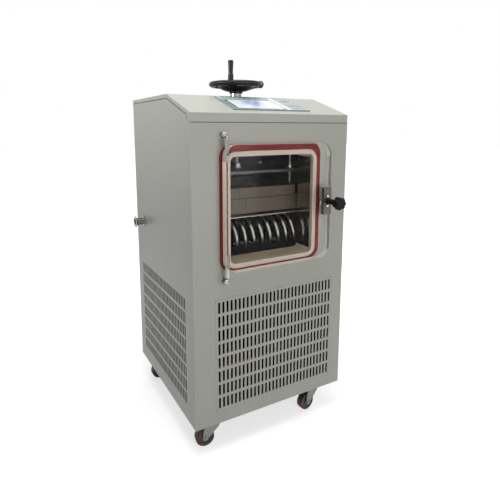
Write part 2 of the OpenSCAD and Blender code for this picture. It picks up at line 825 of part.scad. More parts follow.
module door_bushes() placed() color([0.93, 0.92, 0.88]) {
    low = post_low_z + post_d / 2 + seat;
    high = post_top_z - post_d / 2 - seat;
    translate([hinge_x, hinge_y, 0]) difference() {
        union() {
            translate([0, 0, low]) cylinder(r = bush_d / 2, h = door_low_z + bush_low - low);
            translate([0, 0, door_top_z - bush_top])
                cylinder(r = bush_d / 2, h = high - door_top_z + bush_top);
        }
        cylinder(r = pin_d / 2 + run, h = top_z);
    }
}

stud_r = 4;
stud_in = 8;
module hinge_posts() placed() color(steel) for (z = [post_low_z, post_top_z]) difference() {
    union() {
        bar_y(hinge_x, front_y - post_l, front_y, z, post_d / 2);
        bar_y(hinge_x, front_y, in_front + stud_in, z, stud_r);
    }
    translate([hinge_x, hinge_y, z - post_d]) cylinder(r = pin_d / 2 + run, h = 2 * post_d);
}

pin_head = 4;
pin_head_r = pin_d / 2 + 3;
module hinge_pins() placed() color(steel) translate([hinge_x, hinge_y, 0]) {
    over = post_top_z + post_d / 2 + seat;
    under = post_low_z - post_d / 2 - seat;
    translate([0, 0, door_top_z - bush_top + seat])
        cylinder(r = pin_d / 2, h = over - door_top_z + bush_top - seat);
    translate([0, 0, over]) cylinder(r = pin_head_r, h = pin_head);
    translate([0, 0, under]) cylinder(r = pin_d / 2, h = door_low_z + bush_low - seat - under);
    translate([0, 0, under - pin_head]) cylinder(r = pin_head_r, h = pin_head);
}

// ---- Latch ----

// The pawl hangs down when released and turns behind the keeper's lip when locked
pawl_back = (door_back - pawl_t) / 2;
pawl_w = 10;
keeper_x = latch_ax + pawl_reach + 1;
keeper_t = 2;
keeper_foot = 9;
keeper_h = 30;
keeper_gap = 0.5;
shank_end = 8;      // left solid at the knob's outer end

module latch_spindle() placed() color(steel) {
    bar_y(latch_ax, front_y - knob_front + shank_end, front_y - pawl_back, latch_az,
        spindle_d / 2);
    facing(front_y - pawl_back, pawl_t) {
        translate([latch_ax - pawl_w / 2, latch_az - pawl_reach])
            square([pawl_w, pawl_reach]);
        translate([latch_ax, latch_az]) circle(r = pawl_w / 2);
    }
}

module latch_keeper() placed() color(steel) {
    lip = door_back - keeper_gap;
    gap_low = pawl_back - keeper_gap;
    gap_high = pawl_back + pawl_t + keeper_gap;
    low = latch_az - pawl_w / 2 - keeper_t;
    across = keeper_foot + keeper_t;
    translate([0, 0, low]) linear_extrude(keeper_h) {
        translate([keeper_x - keeper_foot, front_y - gap_low]) square([across, gap_low]);
        translate([keeper_x, front_y - lip]) square([keeper_t, lip]);
        translate([keeper_x - keeper_foot, front_y - lip]) square([across, lip - gap_high]);
    }
}

module latch_block() placed() color(dark_steel) difference() {
    box([latch_ax - block_w / 2, front_y - door_front - block_t, latch_az - block_h / 2],
        [latch_ax + block_w / 2, front_y - door_front, latch_az + block_h / 2]);
    bar_y(latch_ax, front_y - door_front - block_t - 1, front_y, latch_az, spindle_d / 2 + run);
    for (s = [-1, 1]) bar_y(latch_ax, front_y - door_front - block_t - 1, front_y,
        latch_az + s * block_screws / 2, screw_hole_r + run);
}

module latch_screws() placed() color(steel) for (s = [-1, 1]) {
    face = front_y - door_front - block_t;
    z = latch_az + s * block_screws / 2;
    bar_y(latch_ax, face, front_y - door_front + screw_in - 1, z, screw_hole_r);
    bar_y(latch_ax, face - screw_hole_r, face, z, 1.6 * screw_hole_r);
}

lobe_r = 7;
lobe_in = 3;        // set back of the lobes at both ends of the knob
module latch_knob() placed() color(black) difference() {
    knob_y = front_y - knob_front;
    lobe_at = knob_d / 2 - lobe_r;
    union() {
        bar_y(latch_ax, knob_y + knob_l - 2, front_y - stem_front, latch_az, stem_d / 2);
        bar_y(latch_ax, knob_y, knob_y + knob_l, latch_az, knob_d / 2 - lobe_r + 1);
        for (i = [0:knob_lobes - 1]) let (a = 360 * i / knob_lobes)
            bar_y(latch_ax + lobe_at * cos(a), knob_y + lobe_in, knob_y + knob_l - lobe_in,
                latch_az + lobe_at * sin(a), lobe_r);
    }
    bar_y(latch_ax, knob_y + shank_end - seat, front_y, latch_az, spindle_d / 2 + run);
}

// ---- Press ----

flange_r = 35;
gland_r = 15;
gland_h = 8;
module press_housing() placed() color(steel) translate([chamber_x, chamber_y, 0]) difference() {
    low = chamber_top + chamber_t;
    union() {
        translate([0, 0, low]) cylinder(r = flange_r, h = gland_h);
        translate([0, 0, low]) cylinder(r = housing_d / 2, h = housing_top_z - low);
    }
    translate([0, 0, low - 1]) cylinder(r = rod_d / 2 + run, h = housing_top_z);
}

module rod_gland() placed() color(steel)
    translate([chamber_x, chamber_y, chamber_top - gland_h]) difference() {
        cylinder(r = gland_r, h = gland_h);
        translate([0, 0, -1]) cylinder(r = rod_d / 2 + run, h = gland_h + 2);
    }

rod_top_z = hub_low_z + hub_h;
module press_rod() placed() color(steel) translate([chamber_x, chamber_y, plate_top_z])
    cylinder(r = rod_d / 2, h = rod_top_z - plate_top_z);

module press_plate() placed() color(steel) translate([chamber_x, chamber_y, plate_low_z])
    difference() {
        translate([-plate_w / 2, -plate_d / 2, 0]) cube([plate_w, plate_d, plate_t]);
        for (g = guides) translate([g[0], g[1], -1])
            cylinder(r = guide_d / 2 + hole, h = plate_t + 2);
    }

// Lock nut on the rod and guide bushes on the press plate
nut_h = 14;
guide_bush_h = 10;
guide_bush_t = 5;
module press_fasteners() placed() color([0.8, 0.79, 0.76])
    translate([chamber_x, chamber_y, plate_top_z]) {
        difference() {
            cylinder(r = gland_r, h = nut_h, $fn = 6);
            translate([0, 0, -1]) cylinder(r = rod_d / 2 + run, h = nut_h + 2);
        }
        for (g = guides) translate([g[0], g[1], 0]) difference() {
            cylinder(r = guide_d / 2 + guide_bush_t, h = guide_bush_h);
            translate([0, 0, -1]) cylinder(r = guide_d / 2 + run, h = guide_bush_h + 2);
        }
    }

spoke_w = 16;
spoke_in = 4;       // overlap of a spoke with the hub
module spoke() rotate([90, 0, 0]) translate([0, 0, -spoke_w / 2]) linear_extrude(spoke_w)
    polygon([[hub_d / 2 - spoke_in, rim_d * 0.15],
        [wheel_d / 2 - rim_d * 0.9, rim_z - hub_z - rim_d / 4],
        [wheel_d / 2 - rim_d * 0.9, rim_z - hub_z + rim_d / 4],
        [hub_d / 2 - spoke_in, hub_h - rim_d * 0.3]]);

rim_r = wheel_d / 2 - rim_d / 2;
grip_pin_r = 3.5;
grip_end = 4;       // left solid at the grip's top
grip_sleeve = 14;   // straight lower part of the grip
boss_l = 24;
boss_past = 1.5;    // the rim boss stands out by this much
module handwheel() placed() color(black) translate([chamber_x, chamber_y, hub_low_z]) {
    difference() {
        union() {
            cylinder(r = hub_d / 2, h = hub_h);
            translate([0, 0, rim_z - hub_z]) rotate_extrude() translate([rim_r, 0])
                circle(r = rim_d / 2);
            for (i = [0:2]) rotate(grip_dir + 120 * i) spoke();
            rotate(grip_dir) translate([rim_r, 0, rim_z - hub_z])
                cylinder(r = grip_pin_r, h = rim_d / 2 + grip_l - grip_end);
            rotate(grip_dir + 100) translate([rim_r + 1, boss_l / 2, rim_z - hub_z])
                rotate([90, 0, 0]) cylinder(r = rim_d / 2 + boss_past, h = boss_l);
        }
        translate([0, 0, -1]) cylinder(r = rod_d / 2 + run, h = hub_h + 2);
    }
}

module wheel_grip() placed() color(black)
    translate([chamber_x + rim_r * cos(grip_dir), chamber_y + rim_r * sin(grip_dir),
        grip_low_z + seat]) difference() {
        union() {
            cylinder(r = grip_d / 2, h = grip_sleeve);
            translate([0, 0, grip_sleeve]) cylinder(r1 = grip_d / 2 - 2, r2 = grip_d / 2,
                h = grip_l - grip_sleeve);
        }
        translate([0, 0, -1]) cylinder(r = grip_pin_r + run, h = grip_l - grip_end + 1 - seat);
    }

module guide_rods() placed() color(steel) for (g = guides)
    translate([chamber_x + g[0], chamber_y + g[1], guide_low_z]) {
        cylinder(r = guide_d / 2, h = chamber_top - guide_low_z);
        cylinder(r = guide_d / 4 * 3, h = baffle_z - guide_low_z);
    }

// ---- Shelf, tray and baffle ----

module guide_holes(z, h) for (g = guides) translate([g[0], g[1], z])
    cylinder(r = guide_d / 2 + run, h = h);

module heated_shelf() placed() color(dark_steel) translate([chamber_x, chamber_y, shelf_low_z])
    difference() {
        skirt = 4;
        translate([-shelf_w / 2, -shelf_d / 2, 0]) cube([shelf_w, shelf_d, shelf_h]);
        translate([skirt - shelf_w / 2, skirt - shelf_d / 2, -1])
            cube([shelf_w - 2 * skirt, shelf_d - 2 * skirt, shelf_h - shelf_t + 1]);
        guide_holes(-1, shelf_h + 2);
    }

module product_tray() placed() color(steel) translate([chamber_x, chamber_y, shelf_top_z])
    difference() {
        translate([-tray_w / 2, -tray_d / 2, 0]) cube([tray_w, tray_d, tray_h]);
        translate([tray_t - tray_w / 2, tray_t - tray_d / 2, tray_t])
            cube([tray_w - 2 * tray_t, tray_d - 2 * tray_t, tray_h]);
    }

module baffle_plate() placed() color(dark_steel) translate([chamber_x, chamber_y, baffle_z])
    difference() {
        translate([-shelf_w / 2, -shelf_d / 2, 0]) cube([shelf_w, shelf_d, baffle_t]);
        guide_holes(-1, baffle_t + 2);
    }

// ---- Condenser coil ----

// One turn as (y, z) offsets, starting at the top of the rear bend and running forwards
coil_steps = 8;
function turn_points() = concat(
    [for (i = [0:1]) [coil_run * (1 - i / 2), coil_bend]],
    [for (i = [0:coil_steps]) let (a = 90 + 180 * i / coil_steps) coil_bend * [cos(a), sin(a)]],
    [[coil_run / 2, -coil_bend]],
    [for (i = [0:coil_steps - 1]) let (a = -90 + 180 * i / coil_steps)
        [coil_run + coil_bend * cos(a), coil_bend * sin(a)]]);

module condenser_coil() placed() color(steel) {
    turn = turn_points();
    n = len(turn);
    count = (coil_turns - 1) * n + coil_steps + 5;
    path = concat([[coil_cx, coil_end, coil_tails[0][1]]],
        [for (i = [0:count - 1]) [coil_cx + coil_pitch * min(i / n, coil_turns - 0.5),
            coil_cy + turn[i % n][0], coil_cz + turn[i % n][1]]],
        [[coil_tails[1][0], coil_end, coil_tails[1][1]]]);
    swept(path, coil_tube / 2, [0, 0, 1]);
}

rail_w = 12;
rail_gap = 2;
module coil_rails() placed() color(dark_steel)
    for (y = [0, coil_run]) box(
        [chamber_x - chamber_w / 2 + rail_gap, coil_cy + y - rail_w / 2, chamber_z],
        [chamber_x + chamber_w / 2 - rail_gap, coil_cy + y + rail_w / 2,
            coil_cz - coil_bend - coil_tube / 2 - seat]);

// ---- Refrigeration ----

module compressor() placed() color(black)
    translate([comp_at[0], comp_at[1], comp_z]) rotate_extrude() {
        r = comp_d / 2;
        polygon([[0, 0], [r * 0.6, 0], [r * 0.85, r * 0.1], [r, r * 0.325],
            [r, comp_h - r * 0.425], [r * 0.9, comp_h - r * 0.175], [r * 0.6, comp_h],
            [0, comp_h]]);
    }

mount_r = 12;
module compressor_mounts() placed() color([0.15, 0.15, 0.15])
    for (sx = [-1, 1], sy = [-1, 1])
        translate([comp_at[0] + sx * comp_d * 0.2, comp_at[1] + sy * comp_d * 0.2, floor_z])
            cylinder(r = mount_r, h = mount_h);

// Finned radiator between two end tanks on feet
tank = 16;
rail_t = 6;
pipe_r = 5;
pipe_pitch = 24;
pipe_in = 12;
fin_pitch = 9;
fin_t = 0.6;
module radiator() placed() color(dark_steel) {
    y0 = rad_y - rad_w / 2;
    y1 = rad_y + rad_w / 2;
    for (y = [y0, y1 - tank]) box([rad_x, y, floor_z], [rad_x + rad_t, y + tank, rad_z + rad_h]);
    for (z = [rad_z, rad_z + rad_h - rail_t])
        box([rad_x, y0, z], [rad_x + rad_t, y1, z + rail_t]);
    for (z = [rad_z + pipe_pitch : pipe_pitch : rad_z + rad_h - pipe_pitch],
            x = [rad_x + pipe_in, rad_x + rad_t - pipe_in])
        bar_y(x, y0 + tank - 1, y1 - tank + 1, z, pipe_r);
    for (y = [y0 + tank + fin_pitch - 1 : fin_pitch : y1 - tank - fin_pitch / 2])
        box([rad_x + 2, y, rad_z + rail_t - 1],
            [rad_x + rad_t - 2, y + fin_t, rad_z + rad_h - rail_t + 1]);
}

ring_l = 30;
ring_r = fan_d / 2 + 4;
shroud_t = 2;
arm_w = 10;
arm_t = 3;
module fan_shroud() placed() color(black) difference() {
    union() {
        translate([shroud_x, rad_y - rad_w / 2, rad_z]) cube([shroud_t, rad_w, rad_h]);
        bar_x(shroud_x, shroud_x + ring_l, rad_y, fan_z, ring_r + shroud_t);
        for (a = [90, 210, 330]) translate([0, rad_y, fan_z]) rotate([a, 0, 0]) {
            translate([shroud_x + ring_l - 1, ring_r - 1, -arm_w / 2])
                cube([motor_x - shroud_x - ring_l + 4 * arm_t, arm_t, arm_w]);
            translate([motor_x + 3 * arm_t - 1, motor_d / 2 + run, -arm_w / 2])
                cube([arm_t, ring_r + 2 - motor_d / 2, arm_w]);
        }
    }
    bar_x(shroud_x - 1, shroud_x + ring_l + 1, rad_y, fan_z, ring_r);
}

module fan_motor() placed() color(steel) {
    bar_x(motor_x, motor_x + motor_l, rad_y, fan_z, motor_d / 2);
    bar_x(fan_x + shaft_in, motor_x, rad_y, fan_z, shaft_r);
}

fan_hub_r = 26;
fan_hub_h = 24;
blade_w = 40;
blade_t = 2;
blade_pitch = 60;
module fan_blades() placed() color(black) difference() {
    hub_low = fan_x - fan_hub_h / 4;
    union() {
        bar_x(hub_low, hub_low + fan_hub_h, rad_y, fan_z, fan_hub_r);
        for (i = [0:fan_count - 1]) translate([hub_low + fan_hub_h / 2, rad_y, fan_z])
            rotate([360 * i / fan_count, 0, 0]) translate([0, fan_hub_r - 3, 0])
                rotate([0, blade_pitch, 0]) translate([-blade_t / 2, 0, -blade_w / 2])
                    cube([blade_t, fan_d / 2 - fan_hub_r - 2, blade_w]);
    }
    bar_x(fan_x + shaft_in - seat, hub_low + fan_hub_h + 2, rad_y, fan_z, shaft_r + run);
}

module filter_drier() placed() color(copper) translate([drier_at[0], drier_at[1], drier_z]) {
    cylinder(r = drier_d / 2, h = drier_h);
    translate([0, 0, -drier_foot]) cylinder(r = drier_d / 7, h = drier_foot);
}

// Copper lines between the compressor, the radiator, the drier and the coil
line_drop = 85;
line_step = 30;
line_side = 38;
module refrigerant_lines() placed() color(copper) {
    high_z = bearer_z - line_drop;
    liquid_z = high_z + line_step;
    low_z = drier_z + line_step;
    gas_x = comp_at[0] - line_step;
    back_x = coil_tails[1][0];
    tank_y = rad_y - rad_w / 2;
    side_x = -in_w + line_side;
    mid_rad = rad_x + rad_t / 2;
    swept(bent([[gas_x, comp_at[1], comp_top + seat], [gas_x, comp_at[1], high_z],
        [mid_rad, comp_at[1], high_z], [mid_rad, comp_at[1], rad_z + rad_h + seat]], 15),
        5, [1, 0, 0]);
    swept(bent([[mid_rad, tank_y - seat, low_z], [mid_rad, drier_at[1], low_z],
        [drier_at[0] - drier_d / 2 - seat, drier_at[1], low_z]], 25), 4, [0, 0, 1]);
    swept(bent([[drier_at[0], drier_at[1], drier_z + drier_h + seat],
        [drier_at[0], drier_at[1], liquid_z], [side_x, drier_at[1], liquid_z],
        [side_x, rear_run_y, liquid_z], [side_x, rear_run_y, coil_tails[0][1]],
        [coil_tails[0][0], rear_run_y, coil_tails[0][1]],
        [coil_tails[0][0], coil_end + seat, coil_tails[0][1]]], 12), 4, [1, 0, 0]);
    swept(bent([[back_x, coil_end + seat, coil_tails[1][1]], [back_x, rear_run_y, coil_tails[1][1]],
        [back_x, rear_run_y, high_z + 20], [back_x, comp_at[1], high_z + 20],
        [back_x, comp_at[1], comp_top + seat]], 15), 7, [1, 0, 0]);
}

// ---- Ports and electrics ----

// Stub to the left side with a clamp flange, blind at the body of the isolation valve; the
// valve is drawn closed, with its neck and gate filling the run from the chamber's rear wall
clamp_t = 3;
clamp_cone = 4;
module vacuum_port() placed() color(steel) {
    front = vac_y - iso_w / 2;
    difference() {
        union() {
            bar_x(vac_end, iso_left + 1, vac_y, vac_cz, vac_d / 2);
            bar_x(vac_end, vac_end + clamp_t, vac_y, vac_cz, flange_d / 2);
            translate([vac_end + clamp_t, vac_y, vac_cz]) rotate([0, 90, 0])
                cylinder(r1 = flange_d / 2, r2 = vac_d / 2, h = clamp_cone);
            bar_x(-half_w - clamp_t, -half_w, vac_y, vac_cz, flange_d / 2 - 2);
            box([iso_left, front, vac_cz - iso_w / 2],
                [iso_left + iso_l, front + iso_w, vac_cz + iso_w / 2]);
            bar_y(vac_at_x, chamber_back, front + 1, vac_cz, vac_d / 2);
            translate([iso_left + iso_l / 2, vac_y, vac_cz + iso_w / 2 - 1])
                cylinder(r = iso_w * 0.3, h = iso_top);
        }
        bar_x(vac_end - 1, iso_left, vac_y, vac_cz, vac_bore / 2);
    }
}

module control_box() placed() color(paint_light)
    box([0, in_back - box_d, box_z], [box_w, in_back, box_z + box_h]);

// Inlet with three flat pins, and a rocker on a pivot pin above it
rocker_z = inlet_at[1] + inlet_h * 9 / 32;
rocker_y = back_y - 3;
rocker_w = 20;
rocker_h = 14;
rocker_tilt = 10;
pivot_r = 1.5;
inlet_rim = 2;
inlet_t = 2.5;      // flange outside the panel
inlet_l = 36;       // body inside the panel
socket_w = 26;
socket_h = 20;
socket_l = 22;
socket_drop = 11;
module mains_inlet() placed() color(black) {
    difference() {
        union() {
            facing(back_y + inlet_t, inlet_t) translate(inlet_at)
                square([inlet_w, inlet_h], center = true);
            facing(back_y, inlet_l) translate(inlet_at)
                square([inlet_w - 2 * inlet_rim - 2 * seat, inlet_h - 2 * inlet_rim - 2 * seat],
                    center = true);
        }
        facing(back_y + 3, socket_l) translate([inlet_at[0], inlet_at[1] - socket_drop])
            square([socket_w, socket_h], center = true);
        facing(back_y + 3, rocker_h) translate([inlet_at[0], rocker_z])
            square([rocker_w + 1, rocker_h + 3], center = true);
    }
    bar_x(inlet_at[0] - rocker_w / 2 - 1, inlet_at[0] + rocker_w / 2 + 1, rocker_y, rocker_z,
        pivot_r);
    for (i = [-1:1]) box([inlet_at[0] + 7 * i - 1, back_y - 20, inlet_at[1] - 13 - 4 * abs(i)],
        [inlet_at[0] + 7 * i + 1, back_y - 11, inlet_at[1] - 6 - 4 * abs(i)]);
}

module rocker_switch() placed() color([0.5, 0.08, 0.06])
    translate([inlet_at[0], rocker_y, rocker_z]) rotate([rocker_tilt, 0, 0]) difference() {
        rotate([90, 0, 90]) translate([0, 0, -rocker_w / 2]) linear_extrude(rocker_w)
            polygon([[-6, -4], [-6, 4], [5, rocker_h / 2], [3.6, 0], [5, -rocker_h / 2]]);
        bar_x(-rocker_w, rocker_w, 0, 0, pivot_r + run);
    }

valve_w = 26;
valve_y = back_y + drain_reach / 2;
drain_bend = 20;
spout_r = 7;
spout_bore_r = 5;
spout_drop = 45;
spout_l = 40;
valve_pin_r = 3;
valve_pin_l = 12;
lever_up = 4;       // collar that the lever rests on
module drain_valve() placed() color([0.8, 0.68, 0.35]) difference() {
    union() {
        swept(bent([[drain_x, drain_y, chamber_z - chamber_t], [drain_x, drain_y, drain_z],
            [drain_x, back_y + 3, drain_z]], drain_bend), drain_r, [1, 0, 0], 12);
        box([drain_x - valve_w / 2, back_y + 2, drain_z - valve_w / 2],
            [drain_x + valve_w / 2, back_y + drain_reach, drain_z + valve_w / 2]);
        translate([drain_x, valve_y, drain_z - spout_drop]) cylinder(r = spout_r, h = spout_l);
        translate([drain_x, valve_y, drain_z + valve_w / 2 - 1])
            cylinder(r = 2 * valve_pin_r, h = lever_up + 1);
        translate([drain_x, valve_y, drain_z + valve_w / 2])
            cylinder(r = valve_pin_r, h = valve_pin_l);
    }
    translate([drain_x, valve_y, drain_z - spout_drop - 1])
        cylinder(r = spout_bore_r, h = spout_l);
}

lever_l = 42;
lever_t = 4;
lever_r = 5;
module drain_lever() placed() color([0.65, 0.1, 0.08])
    translate([drain_x, valve_y, drain_z + valve_w / 2 + lever_up + seat]) difference() {
        union() {
            cylinder(r = 1.6 * lever_r, h = lever_t);
            translate([0, -lever_r, 0]) cube([lever_l, 2 * lever_r, lever_t]);
            translate([lever_l, 0, 0]) cylinder(r = lever_r, h = lever_t);
        }
        translate([0, 0, -1]) cylinder(r = valve_pin_r + run, h = lever_t + 2);
    }

// ---- Casters ----

// Corner places and the way each caster trails: [x side, y side, yaw]
corners = [[-1, -1, 172], [1, -1, 188], [-1, 1, 180], [1, 1, 176]];
swivel_h = 11;
fork_top = caster_h - swivel_h;
swivel_r = 24;
stem_r = 5;
stem_l = 12;
stem_nut_r = 9;
stem_nut_h = 7;
top_plate_w = 64;
top_plate_t = 3;
fork_t = 2.5;
axle_r = 4;
eye_r = 9;
nut_r = 7;

module caster(i) translate([corners[i][0] * caster_x, corners[i][1] * caster_y, 0])
    rotate(corners[i][2]) children();

module caster_plates() placed() color(steel) for (i = [0:3]) caster(i) {
    rotate(-corners[i][2]) translate([-top_plate_w / 2, -top_plate_w / 2, caster_h - top_plate_t])
        cube([top_plate_w, top_plate_w, top_plate_t]);
    translate([0, 0, fork_top + seat])
        cylinder(r = swivel_r, h = swivel_h - top_plate_t - seat);
    translate([0, 0, fork_top + 2 - stem_l]) cylinder(r = stem_r, h = stem_l);
    translate([0, 0, fork_top + 2 - stem_l]) cylinder(r = stem_nut_r, h = stem_nut_h - seat);
}

module fork(i) placed() color(steel) caster(i) {
    leg_y = tyre_w / 2 + 2;
    difference() {
        union() {
            translate([0, 0, fork_top - top_plate_t]) cylinder(r = swivel_r, h = top_plate_t);
            for (s = [-1, 1]) translate([0, s * leg_y, 0]) rotate([90, 0, 0])
                translate([0, 0, s > 0 ? -fork_t : 0]) linear_extrude(fork_t) {
                    polygon([[-swivel_r * 0.75, fork_top], [swivel_r * 0.7, fork_top],
                        [trail + eye_r, tyre_d / 2], [trail - eye_r, tyre_d / 2 - 2],
                        [-swivel_r * 0.6, fork_top - 2 * eye_r]]);
                    translate([trail, tyre_d / 2]) circle(r = eye_r);
                }
        }
        translate([0, 0, fork_top - top_plate_t - 1])
            cylinder(r = stem_r + run, h = top_plate_t + 2);
    }
    translate([trail, 0, tyre_d / 2]) rotate([90, 0, 0]) {
        cylinder(r = axle_r, h = 2 * (leg_y + fork_t), center = true);
        for (s = [-1, 1]) translate([0, 0, s * (leg_y + fork_t + 1)])
            cylinder(r = nut_r, h = fork_t + 0.5, center = true);
    }
}

module tyre(i) placed() color([0.2, 0.12, 0.1]) caster(i)
    translate([trail, 0, tyre_d / 2]) rotate([90, 0, 0]) rotate_extrude() {
        r = tyre_d / 2;
        w = tyre_w / 2;
        polygon([[axle_r + run, -w - 1], [10, -w - 1], [12, -w + 4], [r - 9, -w + 4], [r - 6, -w],
            [r - 2, -w], [r, -w + 4], [r, w - 4], [r - 2, w], [r - 6, w], [r - 9, w - 4],
            [12, w - 4], [10, w + 1], [axle_r + run, w + 1]]);
    }

module front_left_fork() fork(0);
module front_right_fork() fork(1);
module rear_left_fork() fork(2);
module rear_right_fork() fork(3);
module front_left_wheel() tyre(0);
module front_right_wheel() tyre(1);
module rear_left_wheel() tyre(2);
module rear_right_wheel() tyre(3);

frame();
base_plate();
left_panel();
right_panel();
rear_panel();
front_panel();
front_grille();
grille_screws();
top_cover();
control_fascia();
touch_screen();
chamber();
insulation_jacket();
mouth_trim();
door_seal();
hinge_posts();
hinge_pins();
latch_keeper();
press_housing();
rod_gland();
guide_rods();
heated_shelf();
product_tray();
baffle_plate();
condenser_coil();
coil_rails();
compressor();
compressor_mounts();
radiator();
fan_shroud();
fan_motor();
filter_drier();
refrigerant_lines();
vacuum_port();
control_box();
mains_inlet();
rocker_switch();
drain_valve();
drain_lever();
caster_plates();
front_left_fork();
front_right_fork();
rear_left_fork();
rear_right_fork();
front_left_wheel();
front_right_wheel();
rear_left_wheel();
rear_right_wheel();
handwheel();
wheel_grip();
press_rod();
press_plate();
press_fasteners();
door_plate();
door_bushes();
latch_block();
latch_screws();
latch_knob();
latch_spindle();
fan_blades();
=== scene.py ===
"""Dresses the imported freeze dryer: finishes for its solids and detailed pieces round them."""
import math

import bmesh
import bpy
from bpy.props import FloatProperty, FloatVectorProperty, IntProperty, PointerProperty
from bpy.types import Operator, Panel, PropertyGroup
from mathutils import Matrix, Vector


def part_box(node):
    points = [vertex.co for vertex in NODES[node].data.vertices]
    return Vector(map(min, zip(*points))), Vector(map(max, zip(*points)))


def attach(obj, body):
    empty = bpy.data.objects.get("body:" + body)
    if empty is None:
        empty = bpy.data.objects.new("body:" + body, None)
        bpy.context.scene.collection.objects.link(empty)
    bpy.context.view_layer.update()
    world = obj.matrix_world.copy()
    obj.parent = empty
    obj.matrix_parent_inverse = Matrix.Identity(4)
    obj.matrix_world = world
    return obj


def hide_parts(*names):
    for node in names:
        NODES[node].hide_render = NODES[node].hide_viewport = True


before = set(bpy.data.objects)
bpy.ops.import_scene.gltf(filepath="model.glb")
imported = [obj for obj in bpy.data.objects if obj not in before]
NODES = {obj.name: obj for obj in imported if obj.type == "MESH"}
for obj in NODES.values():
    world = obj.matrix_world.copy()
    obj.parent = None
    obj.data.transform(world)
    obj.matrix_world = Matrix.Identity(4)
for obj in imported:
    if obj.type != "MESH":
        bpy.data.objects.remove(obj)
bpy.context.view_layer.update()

bl_info = {
    "name": "Freeze dryer",
    "version": (1, 0, 0),
    "blender": (4, 5, 0),
    "location": "3D View > Sidebar > Freeze dryer",
    "description": "Finishes and detailed pieces for a floor-standing freeze dryer",
    "category": "Add Mesh",
}

MM = 0.001

# The cabinet's footprint and the places that most pieces are measured from
LEFT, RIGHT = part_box("left_panel")[0].x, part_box("right_panel")[1].x
FRONT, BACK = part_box("front_panel")[0].y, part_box("rear_panel")[1].y
CENTRE = Vector(((LEFT + RIGHT) / 2, (FRONT + BACK) / 2, 0))


def cab(x, y, z):
    """A point given in millimetres from the middle of the cabinet's footprint."""
    return CENTRE + Vector((x, y, z)) * MM


def middle(node):
    lo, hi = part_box(node)
    return (lo + hi) / 2


# ---------------------------------------------------------------- properties

def colour_of(name, rgb, text):
    return FloatVectorProperty(name=name, description=text, subtype="COLOR", size=3,
                               min=0, max=1, default=tuple(srgb(c) for c in rgb))


def length_of(name, mm, most, text):
    return FloatProperty(name=name, description=text, default=mm * MM, min=0, max=most * MM,
                         unit="LENGTH", subtype="DISTANCE")


def power_of(name, watts, text):
    return FloatProperty(name=name, description=text, default=watts, min=0, max=500, unit="POWER")


def srgb(value):
    """Linear value of a display value from 0 to 255."""
    v = value / 255
    return v / 12.92 if v <= 0.04045 else ((v + 0.055) / 1.055) ** 2.4


class DryerColours(PropertyGroup):
    """Colours that a user would change"""
    paint: colour_of("Cabinet paint", (172, 173, 164), "Textured paint of the panels")
    lid: colour_of("Lid paint", (176, 177, 167), "Paint of the lid and the control deck")
    chassis: colour_of("Chassis", (60, 60, 58), "Paint of the inner frame")
    steel: colour_of("Stainless steel", (196, 193, 186), "Brushed stainless pieces")
    sill: colour_of("Sill", (214, 198, 170), "Neck between the mouth and the chamber")
    # Near black: painted shade of the closed chamber, laid into its stainless steel's colour
    inside: colour_of("Chamber shade steel", (28, 26, 24), "Stainless steel inside the chamber, near black as painted shade")
    # Warm tone of the shelf and tray, darkened further as painted shade of the chamber
    shelf: colour_of("Shelf", (77, 66, 53), "Heated shelf and tray")
    trim: colour_of("Mouth trim", (194, 180, 164), "Trim round the mouth")
    seal: colour_of("Door seal", (122, 32, 30), "Silicone seal of the door")
    # Sanded white, raised to full brightness as painted glow of light leaving the plate's edge
    edge: colour_of("Door edge", (255, 236, 219), "Sanded edge of the door plate")
    bush: colour_of("Hinge bushes", (240, 238, 230), "Nylon bushes of the hinge")
    knob: colour_of("Knob and handwheel", (16, 17, 18), "Moulded knob and handwheel")
    film: colour_of("Control film", (126, 149, 149), "Film of the control deck")
    wheel: colour_of("Caster wheels", (58, 32, 28), "Tread of the casters")
    copper: colour_of("Copper", (124, 76, 54), "Refrigerant lines")


class DryerSizes(PropertyGroup):
    """Sizes of the dressed pieces"""
    edge: length_of("Edge radius", 0.8, 10, "Rounding of sheet metal edges")
    rim: length_of("Rim thickness", 20, 40, "Thickness of the handwheel's rim")
    grip: length_of("Grip diameter", 18, 40, "Diameter of the handwheel's grip")
    tube: length_of("Coil tube", 12, 30, "Diameter of the condenser's tube")
    sides: IntProperty(name="Roundness", description="Facets round a small turned piece",
                       default=40, min=12, max=96)


class StudioSettings(PropertyGroup):
    """Light and backdrop"""
    sky: FloatProperty(name="Sky", description="Strength of the even light", default=0.19,
                       min=0, max=3)
    through: FloatProperty(name="Through glass", default=0.52, min=0, max=1, subtype="FACTOR",
                           description="Share of the backdrop that lights what is behind the door")
    top: power_of("Top light", 22, "Power of the overhead lamp")
    front: power_of("Front light", 16.5, "Power of the front lamp")
    fill: power_of("Fill light", 9, "Power of the lamp behind the right side")
    side: power_of("Side light", 1, "Power of the left lamp")


# ------------------------------------------------------------ shader groups

COLOUR, VALUE, VECTOR = "NodeSocketColor", "NodeSocketFloat", "NodeSocketVector"


def add_group(name, *inputs):
    """An empty shader group that gives a colour, a roughness and a height.

    Returns it with the sockets of its inputs and the place of each point on the object."""
    group = bpy.data.node_groups.new(name, "ShaderNodeTree")
    for label, kind, value in inputs:
        socket = group.interface.new_socket(name=label, in_out="INPUT", socket_type=kind)
        socket.default_value = value
    for label, kind in (("Colour", COLOUR), ("Roughness", VALUE), ("Height", VALUE)):
        group.interface.new_socket(name=label, in_out="OUTPUT", socket_type=kind)
    return group, group.nodes.new("NodeGroupInput").outputs, object_place(group)


def give(group, colour, rough, height):
    """Ends a group with what it puts out."""
    out = group.nodes.new("NodeGroupOutput")
    for socket, value in zip(out.inputs, (colour, rough, height)):
        group.links.new(value, socket)
    return group


